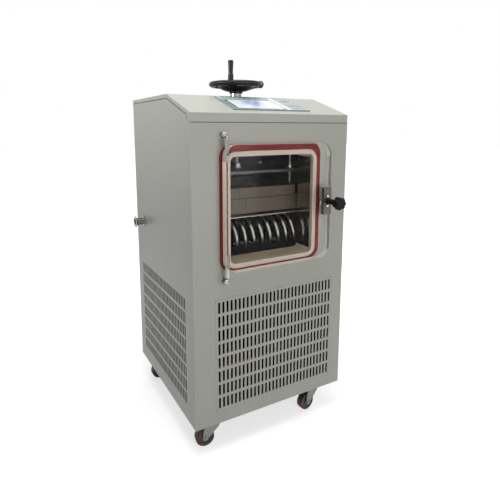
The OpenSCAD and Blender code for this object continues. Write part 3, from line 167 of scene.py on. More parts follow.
def put(tree, kind, links=None, **values):
    """A node in a tree. links has a socket or a plain value for the name or number of an input."""
    node = tree.nodes.new(kind)
    for key, value in values.items():
        setattr(node, key, value)
    for key, value in (links or {}).items():
        if isinstance(value, bpy.types.NodeSocket):
            tree.links.new(value, node.inputs[key])
        else:
            node.inputs[key].default_value = value
    return node


def object_place(tree):
    return put(tree, "ShaderNodeTexCoord").outputs["Object"]


def height_of(tree, place):
    return put(tree, "ShaderNodeSeparateXYZ", {0: place}).outputs["Z"]


def noise(tree, place, scale, detail=3.0, roughness=0.5):
    return put(tree, "ShaderNodeTexNoise", {"Vector": place, "Scale": scale, "Detail": detail,
                                            "Roughness": roughness}).outputs["Fac"]


def reckon(tree, operation, a, b, clamp=False):
    return put(tree, "ShaderNodeMath", {0: a, 1: b}, operation=operation,
               use_clamp=clamp).outputs[0]


def times(tree, a, b):
    return reckon(tree, "MULTIPLY", a, b)


def minus(tree, a, b):
    return reckon(tree, "SUBTRACT", a, b)


def plus(tree, a, b, clamp=False):
    return reckon(tree, "ADD", a, b, clamp)


def stretch(tree, value, low, high, to_low, to_high):
    return put(tree, "ShaderNodeMapRange", {"Value": value, "From Min": low, "From Max": high,
               "To Min": to_low, "To Max": to_high}).outputs["Result"]


def of_vectors(tree, operation, a, b):
    return put(tree, "ShaderNodeVectorMath", {0: a, 1: b}, operation=operation).outputs["Vector"]


def length_of_vector(tree, vector):
    return put(tree, "ShaderNodeVectorMath", {0: vector}, operation="LENGTH").outputs["Value"]


def tint(tree, colour, factor):
    """A colour multiplied by a value."""
    return put(tree, "ShaderNodeVectorMath", {0: colour, "Scale": factor},
               operation="SCALE").outputs["Vector"]


def make_textured_paint():
    """Textured paint: fine grain, slow unevenness and grime that gathers low down."""
    group, given, place = add_group(
        "Textured paint", ("Colour", COLOUR, (0.5, 0.5, 0.5, 1)), ("Roughness", VALUE, 0.45),
        ("Grain", VALUE, 900.0), ("Unevenness", VALUE, 0.05), ("Grime", VALUE, 0.06))
    slow = noise(group, place, 5.0, 4.0)
    grain = noise(group, place, given["Grain"], 2.0)
    shade = times(group, minus(group, slow, 0.5), given["Unevenness"])
    low = stretch(group, height_of(group, place), 0.09, 0.42, 1.0, 0.0)
    patch = stretch(group, noise(group, place, 14.0, 5.0), 0.35, 0.75, 0.2, 1.0)
    dirt = times(group, times(group, low, patch), given["Grime"])
    factor = minus(group, plus(group, 1.0, shade), dirt)
    rough = plus(group, given["Roughness"], times(group, minus(group, grain, 0.5), 0.12))
    return give(group, tint(group, given["Colour"], factor), rough, grain)


def make_drawn_metal():
    """Drawn or brushed metal: streaks along one direction, slow cloudiness, and painted shade below
    a height.
    """
    group, given, place = add_group(
        "Drawn metal", ("Colour", COLOUR, (0.6, 0.6, 0.6, 1)), ("Roughness", VALUE, 0.3),
        ("Streaks", VECTOR, (40.0, 900.0, 900.0)), ("Contrast", VALUE, 0.12),
        ("Cloud", VALUE, 0.08), ("Dull", VALUE, 0.0), ("Dull below", VALUE, 0.0))
    along = of_vectors(group, "MULTIPLY", place, given["Streaks"])
    streak = noise(group, along, 1.0, 4.0, 0.6)
    cloud = noise(group, place, 18.0, 3.0)
    offset = minus(group, streak, 0.5)
    haze = times(group, minus(group, cloud, 0.5), given["Cloud"])
    factor = plus(group, plus(group, 1.0, haze), times(group, offset, given["Contrast"]))
    # Painted shade: the colour darkens below the given height, as if the low parts lay in shade
    depth = minus(group, given["Dull below"], height_of(group, place))
    painted_shade = times(group, stretch(group, depth, -0.02, 0.02, 0.0, 1.0), given["Dull"])
    factor = times(group, factor, minus(group, 1.0, painted_shade))
    rough = plus(group, given["Roughness"], times(group, offset, 0.25))
    return give(group, tint(group, given["Colour"], factor),
                plus(group, rough, haze, clamp=True), streak)


def make_moulded_skin():
    """Moulded plastic or rubber: fine pores, handling marks and dust in patches."""
    group, given, place = add_group(
        "Moulded skin", ("Colour", COLOUR, (0.1, 0.1, 0.1, 1)), ("Roughness", VALUE, 0.4),
        ("Pores", VALUE, 1200.0), ("Marks", VALUE, 0.15), ("Dust", VALUE, 0.02))
    pores = noise(group, place, given["Pores"], 2.0)
    marks = stretch(group, noise(group, place, 55.0, 5.0, 0.65), 0.35, 0.7, -0.5, 0.5)
    patch = stretch(group, noise(group, place, 24.0, 5.0, 0.7), 0.45, 0.8, 0.0, 1.0)
    dust = times(group, patch, given["Dust"])
    lift = put(group, "ShaderNodeCombineXYZ", {0: dust, 1: dust, 2: dust}).outputs[0]
    pale = of_vectors(group, "ADD", given["Colour"], lift)
    rough = plus(group, given["Roughness"], times(group, marks, given["Marks"]), clamp=True)
    return give(group, pale, rough, pores)


def make_screen_image():
    """A lit page of the screen: pale, with one soft blue bloom round a place."""
    group, given, place = add_group(
        "Screen image", ("Colour", COLOUR, (0.8, 0.8, 0.9, 1)),
        ("Bloom", COLOUR, (0.26, 0.38, 0.72, 1)), ("Middle", VECTOR, (0.0, 0.0, 1.0)),
        ("Reach", VALUE, 0.055), ("Roughness", VALUE, 0.2))
    away = length_of_vector(group, of_vectors(group, "SUBTRACT", place, given["Middle"]))
    wobble = stretch(group, noise(group, place, 30.0), 0.0, 1.0, -0.02, 0.02)
    away = plus(group, away, wobble)
    near = stretch(group, reckon(group, "DIVIDE", away, given["Reach"]), 0.35, 1.0, 0.85, 0.0)
    # A mix of colours has its factor in socket 0 and its colours in 6 and 7
    mixed = put(group, "ShaderNodeMix", {0: near, 6: given["Colour"], 7: given["Bloom"]},
                data_type="RGBA").outputs[2]
    return give(group, mixed, given["Roughness"], away)


GROUPS = {}
MATERIALS = {}
RELIEF_DEPTH = 0.0002         # distance of every bump, in metres
ACROSS = (20.0, 900.0, 900.0)           # streaks from left to right
UPRIGHT = (300.0, 300.0, 20.0)          # streaks from bottom to top
METAL = {"Metallic": 1.0}
TINTED_METAL = {"Metallic": 0.35}
DARK_METAL = {"Metallic": 0.9}


def blank(name):
    """A new material, its tree and its shader."""
    mat = bpy.data.materials.new(name)
    mat.use_nodes = True
    return mat, mat.node_tree, mat.node_tree.nodes["Principled BSDF"]


def finish(name, colour, effect, rough, relief, plain=(), **inputs):
    """A material whose colour, roughness and relief come from one of the shared groups.

    plain holds what its shader is given directly, and inputs the group's other values."""
    mat, tree, shader = blank(name)
    node = put(tree, "ShaderNodeGroup", node_tree=GROUPS[effect])
    for key, value in dict(inputs, Colour=(*colour, 1), Roughness=rough).items():
        node.inputs[key.replace("_", " ")].default_value = value
    tree.links.new(node.outputs["Colour"], shader.inputs["Base Color"])
    tree.links.new(node.outputs["Roughness"], shader.inputs["Roughness"])
    if relief:
        bump = put(tree, "ShaderNodeBump", {"Height": node.outputs["Height"],
                                            "Strength": relief, "Distance": RELIEF_DEPTH})
        tree.links.new(bump.outputs["Normal"], shader.inputs["Normal"])
    for key, value in dict(plain).items():
        shader.inputs[key].default_value = value
    mat.diffuse_color = (*colour, 1)
    MATERIALS[name] = mat


def clear_plate(name, colour):
    """Clear acrylic: one plain glassy shader with faint handling marks in its roughness."""
    mat, tree, shader = blank(name)
    place = object_place(tree)
    marks = stretch(tree, noise(tree, place, 30.0, 6.0, 0.7), 0.45, 0.85, 0.0, 0.03)
    tree.links.new(marks, shader.inputs["Roughness"])
    cloud = stretch(tree, noise(tree, place, 8.0), 0, 1, 0.985, 1.0)
    tree.links.new(tint(tree, colour, cloud), shader.inputs["Base Color"])
    shader.inputs["Transmission Weight"].default_value = 1.0
    shader.inputs["IOR"].default_value = 1.14
    MATERIALS[name] = mat


class DRYER_OT_finishes(Operator):
    """Build the shared shader groups and every finish"""
    bl_idname = "dryer.finishes"
    bl_label = "Finishes"

    def execute(self, context):
        c = context.scene.dryer_colours
        GROUPS.update(paint=make_textured_paint(), metal=make_drawn_metal(),
                      moulded=make_moulded_skin(), image=make_screen_image())
        finish("panel paint", c.paint, "paint", 0.42, 0.12)
        finish("lid paint", c.lid, "paint", 0.4, 0.12, Grime=0.0)
        finish("chassis paint", c.chassis, "paint", 0.6, 0.2, Unevenness=0.3)
        finish("shell enamel", (0.012, 0.012, 0.013), "paint", 0.3, 0.2, Grime=0.0)

        finish("plated screw", (0.72, 0.71, 0.68), "metal", 0.22, 0.1, METAL)
        finish("stainless", c.steel, "metal", 0.28, 0.15, METAL)
        finish("polished steel", c.steel, "metal", 0.12, 0.05, METAL, Contrast=0.05)
        # Chamber walls near black: painted shade of the closed chamber
        finish("chamber shade steel", c.inside, "metal", 0.22, 0.05, METAL, Streaks=UPRIGHT,
               Contrast=0.2)
        # A lighter, pinkish copy of the chamber's steel for its right wall: painted reflection
        finish("painted reflection steel", (0.50, 0.43, 0.39), "metal", 0.1, 0.02, METAL, Streaks=UPRIGHT,
               Contrast=0.1)
        finish("sill steel", c.sill, "metal", 0.5, 0.1, TINTED_METAL, Streaks=ACROSS, Contrast=0.2)
        # Warm tone, darkened further as painted shade of the chamber
        finish("shelf metal", c.shelf, "metal", 0.55, 0.2, TINTED_METAL,
               Streaks=(25.0, 900.0, 900.0), Contrast=0.25)
        # Painted shade: the coil's lower turns are darkened below 0.646 m
        finish("coil steel", c.steel, "metal", 0.16, 0.05, METAL, Contrast=0.08, Dull=0.94,
               Dull_below=0.646)
        finish("baffle steel", (0.26, 0.25, 0.23), "metal", 0.4, 0.1, DARK_METAL, Streaks=ACROSS)
        # Near black: painted shade of the chamber laid into the press plate's steel
        finish("plate shade steel", (0.06, 0.056, 0.05), "metal", 0.32, 0.1, DARK_METAL, Streaks=ACROSS)
        finish("rod steel", (0.13, 0.125, 0.115), "metal", 0.2, 0.05, METAL)
        finish("nut steel", (0.45, 0.44, 0.42), "metal", 0.25, 0.1, METAL)
        finish("post steel", (0.29, 0.275, 0.255), "metal", 0.26, 0.05, METAL, Cloud=0.3)
        finish("zinc plate", (0.25, 0.25, 0.22), "metal", 0.45, 0.1, {"Metallic": 0.4}, Cloud=0.4)
        finish("block steel", (0.12, 0.108, 0.086), "metal", 0.42, 0.1, {"Metallic": 0.5},
               Streaks=(900.0, 900.0, 40.0), Contrast=0.3)
        finish("fin aluminium", (0.45, 0.45, 0.44), "metal", 0.4, 0.2, METAL)
        finish("copper", c.copper, "metal", 0.3, 0.1, METAL, Cloud=0.4)
        finish("valve brass", (0.68, 0.50, 0.24), "metal", 0.3, 0.1, METAL, Cloud=0.3)

        finish("foam jacket", (0.02, 0.02, 0.02), "moulded", 0.9, 0.6, Pores=400.0)
        finish("trim cream", c.trim, "moulded", 0.42, 0.1)
        finish("seal silicone", c.seal, "moulded", 0.6, 0.2, {"Specular IOR Level": 0.2},
               Dust=0.008)
        finish("seal lip", (0.075, 0.036, 0.026), "moulded", 0.6, 0.1)
        finish("seam shade", (0.10, 0.10, 0.095), "moulded", 0.9, 0.1)
        finish("pale gasket", (0.50, 0.49, 0.42), "moulded", 0.5, 0.1)
        finish("bush nylon", c.bush, "moulded", 0.45, 0.1)
        finish("black gloss", c.knob, "moulded", 0.36, 0.05, {"Specular IOR Level": 0.3},
               Marks=0.2, Dust=0.008)
        finish("matt black", (0.008, 0.009, 0.009), "moulded", 0.5, 0.05,
               {"Specular IOR Level": 0.1}, Dust=0.0)
        finish("black plastic", (0.012, 0.012, 0.012), "moulded", 0.5, 0.3)
        finish("film pale", (0.34, 0.43, 0.42), "moulded", 0.3, 0.0)
        finish("film grey", (0.36, 0.42, 0.43), "moulded", 0.3, 0.0)
        finish("film white", (0.80, 0.79, 0.80), "moulded", 0.3, 0.0, Dust=0.0)
        finish("film dark", (0.035, 0.05, 0.05), "moulded", 0.45, 0.0)
        finish("control film", c.film, "moulded", 0.3, 0.03, Dust=0.03)
        # Near-black sheets behind the vents: painted shade of the machine bay
        finish("bay shade sheet", (0.006, 0.006, 0.006), "moulded", 0.95, 0.6, Pores=300.0)
        finish("wheel core", (0.05, 0.035, 0.03), "moulded", 0.5, 0.2)
        finish("tyre", c.wheel, "moulded", 0.6, 0.3, Dust=0.05)
        finish("mount rubber", (0.02, 0.02, 0.02), "moulded", 0.8, 0.4)
        finish("switch red", (0.42, 0.02, 0.016), "moulded", 0.3, 0.05)
        finish("screen", (0.84, 0.85, 0.90), "image", 0.2, 0.0,
               Middle=middle("touch_screen") + Vector((0.0, 0.016, 0.006)))

        clear_plate("clear acrylic", (0.985, 0.99, 0.985))
        # Sanded acrylic, brightened as painted glow along the plate's left edge
        finish("sanded edge", c.edge, "moulded", 0.6, 0.3,
               {"Transmission Weight": 0.15, "IOR": 1.2}, Pores=700.0, Dust=0.04)
        # Pale, half-clear copy for the other polished edges: a painted highlight line along them
        finish("polished edge highlight", (0.80, 0.79, 0.73), "moulded", 0.6, 0.0,
               {"Transmission Weight": 0.4, "IOR": 1.2}, Dust=0.0)
        # Whiter, opaque copy of the sanded edge for the bottom chamfer: sanded white, brightened as
        # painted highlight
        finish("low edge highlight", (0.97, 0.92, 0.85), "moulded", 0.5, 0.1, Dust=0.0)
        finish("frosted acrylic", (0.44, 0.42, 0.38), "moulded", 0.6, 0.1, Dust=0.0)
        return {"FINISHED"}


# ------------------------------------------------------------------- solids

# Each finish and the solids that wear it
FINISH_NODES = {
    "chassis paint": "frame base_plate",
    "panel paint": "left_panel right_panel rear_panel front_panel front_grille grille_screws",
    "lid paint": "top_cover control_box",
    "plated screw": "press_fasteners latch_screws",
    "polished steel": "latch_spindle",
    "post steel": "hinge_pins hinge_posts vacuum_port rod_gland press_housing",
    "rod steel": "guide_rods press_rod",
    "plate shade steel": "press_plate",
    "baffle steel": "baffle_plate",
    "stainless": "latch_keeper coil_rails "
                 "caster_plates front_left_fork front_right_fork rear_left_fork rear_right_fork",
    "chamber shade steel": "chamber",
    "block steel": "latch_block",
    "shelf metal": "heated_shelf product_tray",
    "coil steel": "condenser_coil",
    "foam jacket": "insulation_jacket",
    "trim cream": "mouth_trim",
    "seal silicone": "door_seal",
    "clear acrylic": "door_plate",
    "bush nylon": "door_bushes",
    "black gloss": "latch_knob handwheel wheel_grip",
    "control film": "control_fascia",
    "screen": "touch_screen",
    "black plastic": "mains_inlet fan_shroud fan_blades",
    "shell enamel": "compressor fan_motor filter_drier",
    "mount rubber": "compressor_mounts",
    "fin aluminium": "radiator",
    "copper": "refrigerant_lines",
    "valve brass": "drain_valve",
    "switch red": "rocker_switch drain_lever",
    "tyre": "front_left_wheel front_right_wheel rear_left_wheel rear_right_wheel",
}


class DRYER_OT_solids(Operator):
    """Give every solid its finish"""
    bl_idname = "dryer.solids"
    bl_label = "Solids"

    def execute(self, context):
        for name, nodes in FINISH_NODES.items():
            for node in nodes.split():
                materials = NODES[node].data.materials
                materials.clear()
                materials.append(MATERIALS[name])
        return {"FINISHED"}


# ------------------------------------------------------------ mesh building
# Every form below is written in millimetres, measured from the middle of the cabinet's
# footprint on the floor, and piece() brings it to its place.

UP, OUT = (0, 0, 1), (0, -1, 0)       # from the floor up, and from the front panel outwards


def skin(bm, rings, loop=False, material=0):
    """Faces between rings of points. loop joins the last ring to the first, or both are closed."""
    rows = [[bm.verts.new(p) for p in ring] for ring in rings]
    pairs = list(zip(rows, rows[1:])) + ([(rows[-1], rows[0])] if loop else [])
    faces = []
    for a, b in pairs:
        for i in range(len(a)):
            j = (i + 1) % len(a)
            faces.append((a[i], a[j], b[j], b[i]))
    for corners in faces + ([] if loop else [rows[0][::-1], rows[-1]]):
        bm.faces.new(corners).material_index = material


def turned(bm, origin, along, profile, sides=40, loop=False, lobes=0, depth=0.0, material=0):
    """A turned form from (radius, distance) pairs along an axis. Lobes draw in its outline."""
    turn = Vector(along).to_track_quat("Z", "Y").to_matrix()
    rings = []
    for radius, reach in profile:
        ring = []
        for i in range(sides):
            a = math.tau * i / sides
            r = radius * (1 - depth * (0.5 - 0.5 * math.cos(lobes * a)) ** 1.5)
            ring.append(Vector(origin) + turn @ Vector((r * math.cos(a), r * math.sin(a), reach)))
        rings.append(ring)
    skin(bm, rings, loop, material)


def swept(bm, points, sizes, sides=16, up=UP, loop=False):
    """A round or oval form along a path. sizes is one radius, or (sideways, upwards) per point."""
    points = [Vector(p) for p in points]
    count = len(points)
    side = None
    rings = []
    for i, p in enumerate(points):
        after = points[(i + 1) % count] if loop or i + 1 < count else p
        before = points[i - 1] if loop or i else p
        ahead = (after - before).normalized()
        if side is None:
            side = ahead.cross(Vector(up)).normalized()
        side = (side - ahead * side.dot(ahead)).normalized()
        high = side.cross(ahead)
        a, b = sizes[i] if isinstance(sizes, list) else (sizes, sizes)
        rings.append([p + side * a * math.cos(math.tau * k / sides)
                      + high * b * math.sin(math.tau * k / sides) for k in range(sides)])
    skin(bm, rings, loop)


def bent_path(corners):
    """A smooth path through the middles of a run of corners, keeping both ends."""
    steps = 5
    corners = [Vector(c) for c in corners]
    path = [corners[0]]
    for a, b, c in zip(corners, corners[1:], corners[2:]):
        start, end = (a + b) / 2, (b + c) / 2
        for i in range(steps + 1):
            t = i / steps
            path.append(start * (1 - t) ** 2 + b * 2 * t * (1 - t) + end * t ** 2)
    path.append(corners[-1])
    return [p for i, p in enumerate(path) if not i or (p - path[i - 1]).length > 1e-4]


def rounded(w, h, r, steps=6):
    """Outline of a rectangle with round corners, centred on the origin, anticlockwise."""
    points = []
    for q, (sx, sy) in enumerate(((1, 1), (-1, 1), (-1, -1), (1, -1))):
        for i in range(steps + 1):
            a = math.radians(90 * q + 90 * i / steps)
            points.append((sx * (w / 2 - r) + r * math.cos(a), sy * (h / 2 - r) + r * math.sin(a)))
    return points


def slab(bm, outline, place, low, high, material=0):
    """A flat outline given thickness. place turns (u, v, level) into a point."""
    skin(bm, [[place(u, v, level) for u, v in outline] for level in (low, high)],
         material=material)


def lying(x0, y0):
    """Places outlines parallel to the floor; the level is the height."""
    return lambda u, v, level: (x0 + u, y0 + v, level)


def oblong(left, right, low, high):
    return [(left, low), (right, low), (right, high), (left, high)]


def block(bm, lo, hi):
    slab(bm, oblong(lo[0], hi[0], lo[1], hi[1]), lying(0, 0), lo[2], hi[2])


def hexagon(size):
    r = size / math.sqrt(3)
    return [(r * math.cos(math.radians(60 * i)), r * math.sin(math.radians(60 * i)))
            for i in range(6)]


def in_mm(point):
    """A point of the scene in millimetres from the middle of the cabinet's footprint."""
    return (point - CENTRE) / MM


def bevelled(obj, width, angle):
    """Rounds the edges sharper than an angle, or those that carry a bevel weight."""
    mod = obj.modifiers.new("edges", "BEVEL")
    mod.width, mod.segments = width * MM, 2
    if "bevel_weight_edge" in obj.data.attributes:
        mod.limit_method = "WEIGHT"
    else:
        mod.limit_method, mod.angle_limit = "ANGLE", math.radians(angle)
    obj.modifiers.new("shading", "WEIGHTED_NORMAL").mode = "FACE_AREA"


def settle(name, bm, body, finishes, bevel, angle, replaces):
    """Makes a form an object with its finishes that rides on its body."""
    mesh = bpy.data.meshes.new(name)
    bm.to_mesh(mesh)
    bm.free()
    obj = bpy.data.objects.new(name, mesh)
    bpy.context.scene.collection.objects.link(obj)
    for finish_name in finishes:
        mesh.materials.append(MATERIALS[finish_name])
    mesh.shade_smooth()
    if bevel:
        bevelled(obj, bevel, angle)
    else:
        mesh.set_sharp_from_angle(angle=math.radians(angle))
    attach(obj, body)
    if replaces:
        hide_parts(*replaces)
    return obj


def piece(name, bm, body, slot, *finishes, bevel=0.0, angle=35, replaces=()):
    """Turns a form given in millimetres into a named piece."""
    bmesh.ops.recalc_face_normals(bm, faces=bm.faces)
    bm.transform(Matrix.Translation(CENTRE) @ Matrix.Scale(MM, 4))
    return settle(name, bm, body, finishes, bevel, angle, replaces)


def recut(name, node, body, slot, *finishes, choose, bevel=0.0, angle=35, cuts=(), weigh=None):
    """A piece cut from a solid's own shape, with clean faces, that stands for the solid.

    choose gives each face its material, and weigh gives each edge its share of the bevel.
    cuts are planes, as (point in mm, normal), that only divide faces."""
    bm = bmesh.new()
    bm.from_mesh(NODES[node].data)
    bmesh.ops.remove_doubles(bm, verts=bm.verts, dist=1e-6)
    bmesh.ops.dissolve_limit(bm, angle_limit=math.radians(1), verts=bm.verts, edges=bm.edges)
    for point, normal in cuts:
        bmesh.ops.bisect_plane(bm, geom=[*bm.verts, *bm.edges, *bm.faces], plane_co=cab(*point),
                               plane_no=normal)
    bmesh.ops.recalc_face_normals(bm, faces=bm.faces)
    for face in bm.faces:
        face.material_index = choose(face)
    if weigh:
        layer = bm.edges.layers.float.new("bevel_weight_edge")
        for edge in bm.edges:
            edge[layer] = weigh(edge)
    return settle(name, bm, body, finishes, bevel, angle, (node,))


def soften(node, width, angle=35):
    """Rounds a solid's edges a little without changing its mesh."""
    obj = NODES[node]
    weld = obj.modifiers.new("weld", "WELD")
    weld.merge_threshold = 0.002 * MM
    flat = obj.modifiers.new("flat", "DECIMATE")
    flat.decimate_type = "DISSOLVE"
    flat.angle_limit = math.radians(1)
    bevelled(obj, width, angle)
    obj.data.shade_smooth()


# ---------------------------------------------------------------- handwheel

HUB = (-14.5, -44.5)          # axis of the press, from the middle of the cabinet
HUB_LOW = 1102                # lower end of the handwheel's hub
RIM_R, RIM_Z = 80, 1131       # radius and height of the rim's middle line
GRIP_AT = 230                 # direction of the grip, in degrees from the right


def round_wheel(r, z, angle):
    """A point on a circle round the handwheel's axis."""
    a = math.radians(angle)
    return Vector((HUB[0] + r * math.cos(a), HUB[1] + r * math.sin(a), z))


def rim_boss(reach):
    """A point along the axis of the boss on the rim's inside, and the direction of that axis."""
    tangent = round_wheel(1, 0, GRIP_AT + 10) - Vector((*HUB, 0))
    return round_wheel(RIM_R + 1, RIM_Z, GRIP_AT + 100) + tangent * reach, tangent


class DRYER_OT_handwheel(Operator):
    """Build the moulded handwheel: rim, dished web, three spokes, hub and bosses"""
    bl_idname = "dryer.handwheel"
    bl_label = "Handwheel"

    def execute(self, context):
        half = context.scene.dryer_sizes.rim / MM / 2
        bm = bmesh.new()
        # The rim's section is a little flat on top and drawn in underneath
        section = []
        for k in range(20):
            a = math.tau * k / 20
            out, up = half * math.cos(a), half * 0.9 * math.sin(a)
            up = min(up, half * 0.72) if up > 0 else up * (1 - 0.12 * math.cos(a))
            section.append((RIM_R + out, RIM_Z + up))
        steps = 96
        skin(bm, [[round_wheel(r, z, 360 * i / steps) for r, z in section] for i in range(steps)],
             loop=True)
        turned(bm, (*HUB, HUB_LOW), UP,
               [(18, 5), (34, 7.5), (46, 12), (57, 18.5), (58.5, 20.5), (57, 22), (46, 17.5),
                (34, 14.5), (18, 13)], sides=56, loop=True)
        for spoke in range(3):
            angle = GRIP_AT + 120 * spoke
            path, sizes = [], []
            for i in range(11):
                t = i / 10
                path.append(round_wheel(14 + 62 * t, HUB_LOW + 10 + 17 * t ** 1.4, angle))
                sizes.append((17 - 3 * math.sin(math.pi * t) + 6 * t ** 4, 5.5 - 0.8 * t))
            swept(bm, path, sizes, sides=18)
        turned(bm, (*HUB, HUB_LOW), UP,
               [(8.2, 0), (20.5, 0), (22.2, 1.4), (22.5, 4), (22.5, 15), (25.5, 22), (25, 24.5),
                (22.5, 26), (17, 26), (15.5, 24.2), (8.2, 24.2)], sides=56, loop=True)
        place, tangent = rim_boss(12)
        turned(bm, place, -tangent, [(6, 7), (6, 0.8), (6.8, 0), (10, 0), (11.4, 1.4), (11.4, 22.6),
                                     (10, 24), (0.4, 24)], sides=32)
        turned(bm, round_wheel(RIM_R, RIM_Z, GRIP_AT), UP,
               [(9.3, 4), (9.3, 8.6), (8.6, 9.6), (3.4, 9.6), (3.4, 62)], sides=28)
        piece("handwheel_moulding", bm, "press_wheel", "knob_black", "black gloss",
              angle=50, replaces=("handwheel",))
        return {"FINISHED"}


class DRYER_OT_rod_end(Operator):
    """Build the washer, the ring nut and the socket screw seen on the handwheel"""
    bl_idname = "dryer.rod_end"
    bl_label = "Rod end"

    def execute(self, context):
        bm = bmesh.new()
        washer = HUB_LOW + 24.4
        turned(bm, (*HUB, washer), UP,
               [(8.3, 0), (14.6, 0), (15, 0.3), (15, 1.4), (14.5, 1.6), (8.3, 1.6)], loop=True)
        turned(bm, (*HUB, washer + 1.6), UP, [(9.6, 0), (13, 0), (13, 5.5), (9.6, 5.5)], sides=6,
               loop=True)
        piece("handwheel_nut", bm, "press_wheel", "knob_black", "plated screw", bevel=0.7)
        bm = bmesh.new()
        turned(bm, *rim_boss(7),
               [(5.7, 0), (5.7, 1.6), (5.2, 2), (2.4, 2), (2.4, 0.4), (0.3, 0.4)], sides=30)
        piece("rim_boss_screw", bm, "press_wheel", "knob_black", "plated screw", angle=30)
        return {"FINISHED"}


class DRYER_OT_grip(Operator):
    """Build the turning grip with its thicker sleeve"""
    bl_idname = "dryer.grip"
    bl_label = "Grip"

    def execute(self, context):
        sizes = context.scene.dryer_sizes
        r = sizes.grip / MM / 2
        bm = bmesh.new()
        turned(bm, round_wheel(RIM_R, RIM_Z + 10.4, GRIP_AT), UP,
               [(3.8, 0), (r - 1.2, 0), (r - 0.2, 0.8), (r - 0.1, 13), (r - 0.8, 14),
                (r - 1.6, 14.6), (r - 1.7, 20), (r - 1.2, 36), (r - 0.5, 50), (r - 0.3, 53.5),
                (r - 1.2, 55.8), (r - 3.2, 56.8), (0.5, 56.9)], sides=sizes.sides)
        piece("grip_moulding", bm, "press_grip", "knob_black", "black gloss", angle=28,
              replaces=("wheel_grip",))
        return {"FINISHED"}


# --------------------------------------------------------- condenser's coil

COIL = (-161.75, -125, 636)   # x of the first turn, y of the front bends, middle height
COIL_PITCH = 31
COIL_BEND = 60                # radius of the bends
COIL_RUN = 140                # length of the straight runs
COIL_TURNS = 9.5
COIL_END = 140                # y of both ends, at the chamber's rear
COIL_DRAWN = 0.985            # share of its thickness that the tube is drawn at
TURN_STEPS = 20               # steps of one turn: 2 for each run, 8 for each bend


def coil_point(u):
    """Middle line of the coil after u steps: run, front bend, run and rear bend in turn."""
    w = u % TURN_STEPS
    if w < 2:
        y, z = COIL_RUN * (1 - w / 2), COIL_BEND
    elif w < 10:
        a = math.radians(90 + 22.5 * (w - 2))
        y, z = COIL_BEND * math.cos(a), COIL_BEND * math.sin(a)
    elif w < 12:
        y, z = COIL_RUN * (w - 10) / 2, -COIL_BEND
    else:
        a = math.radians(-90 + 22.5 * (w - 12))
        y, z = COIL_RUN + COIL_BEND * math.cos(a), COIL_BEND * math.sin(a)
    x = COIL_PITCH * min(u / TURN_STEPS, COIL_TURNS)
    return Vector((COIL[0] + x, COIL[1] + y, COIL[2] + z))


class DRYER_OT_coil(Operator):
    """Build the condenser's coil as one smooth tube"""
    bl_idname = "dryer.coil"
    bl_label = "Condenser coil"

    def execute(self, context):
        r = context.scene.dryer_sizes.tube / MM / 2 * COIL_DRAWN
        last = int(COIL_TURNS * TURN_STEPS) + 2
        path = [Vector((COIL[0], COIL_END, COIL[2] + COIL_BEND))]
        path += [coil_point(i / 2) for i in range(2 * last + 1)]
        path.append(Vector((path[-1].x, COIL_END, COIL[2] - COIL_BEND)))
        bm = bmesh.new()
        swept(bm, path, r, sides=18)
        piece("coil_tube", bm, "cabinet", "coil_steel", "coil steel", angle=60,
              replaces=("condenser_coil",))
        return {"FINISHED"}


# --------------------------------------------------------------------- door

LATCH = (164.5, 763)          # axis of the latch, x and height
DOOR_FACE = -302.3            # front face of the door plate
HINGE = (-176, -289.8)        # axis of the door, x and y
HINGE_EYE = 8                 # radius of the plate's eyes round the pins
LATCH_HOLE = 15               # radius that takes in the plate's hole for the latch
DOOR_LOW, DOOR_TOP = 578, 943


class DRYER_OT_door(Operator):
    """Build the clear door plate with its sanded and rounded edges and its frosted corner"""
    bl_idname = "dryer.door"
    bl_label = "Door plate"

    def execute(self, context):
        clear, sanded, frosted, polished, highlight_edge = range(5)
        # The frosted upper corner ends here
        inner, high = HINGE[0] + 11, DOOR_TOP - 46

        def kind(face):
            spot = in_mm(face.calc_center_median())
            eye = math.hypot(spot.x - HINGE[0], spot.y - HINGE[1]) < HINGE_EYE
            hole = math.hypot(spot.x - LATCH[0], spot.z - LATCH[1]) < LATCH_HOLE
            corner = spot.x < inner and spot.z > high
            if eye or (corner and (face.normal.y > 0.9 or face.normal.x < -0.3)):
                return frosted
            if abs(face.normal.y) > 0.9 or hole:
                return clear
            # Bottom faces take the whiter copy of the sanded edge: a painted highlight
            if face.normal.z < -0.3:
                return highlight_edge
            return sanded if face.normal.x < -0.3 else polished

        def share(edge):
            if len(edge.link_faces) != 2 or edge.calc_face_angle(0) < math.radians(35):
                return 0.0
            kinds = {face.material_index for face in edge.link_faces}
            return 1.0 if highlight_edge in kinds else 0.6 if sanded in kinds else 0.0
        pane = recut("door_pane", "door_plate", "door", "door_acrylic", "clear acrylic",
                     "sanded edge", "frosted acrylic", "polished edge highlight", "low edge highlight", bevel=3.6,
                     choose=kind, weigh=share,
                     cuts=(((inner, 0, 0), (1, 0, 0)), ((0, 0, high), (0, 0, 1))))
        edges = pane.modifiers["edges"]
        edges.segments, edges.material = 3, highlight_edge
        return {"FINISHED"}


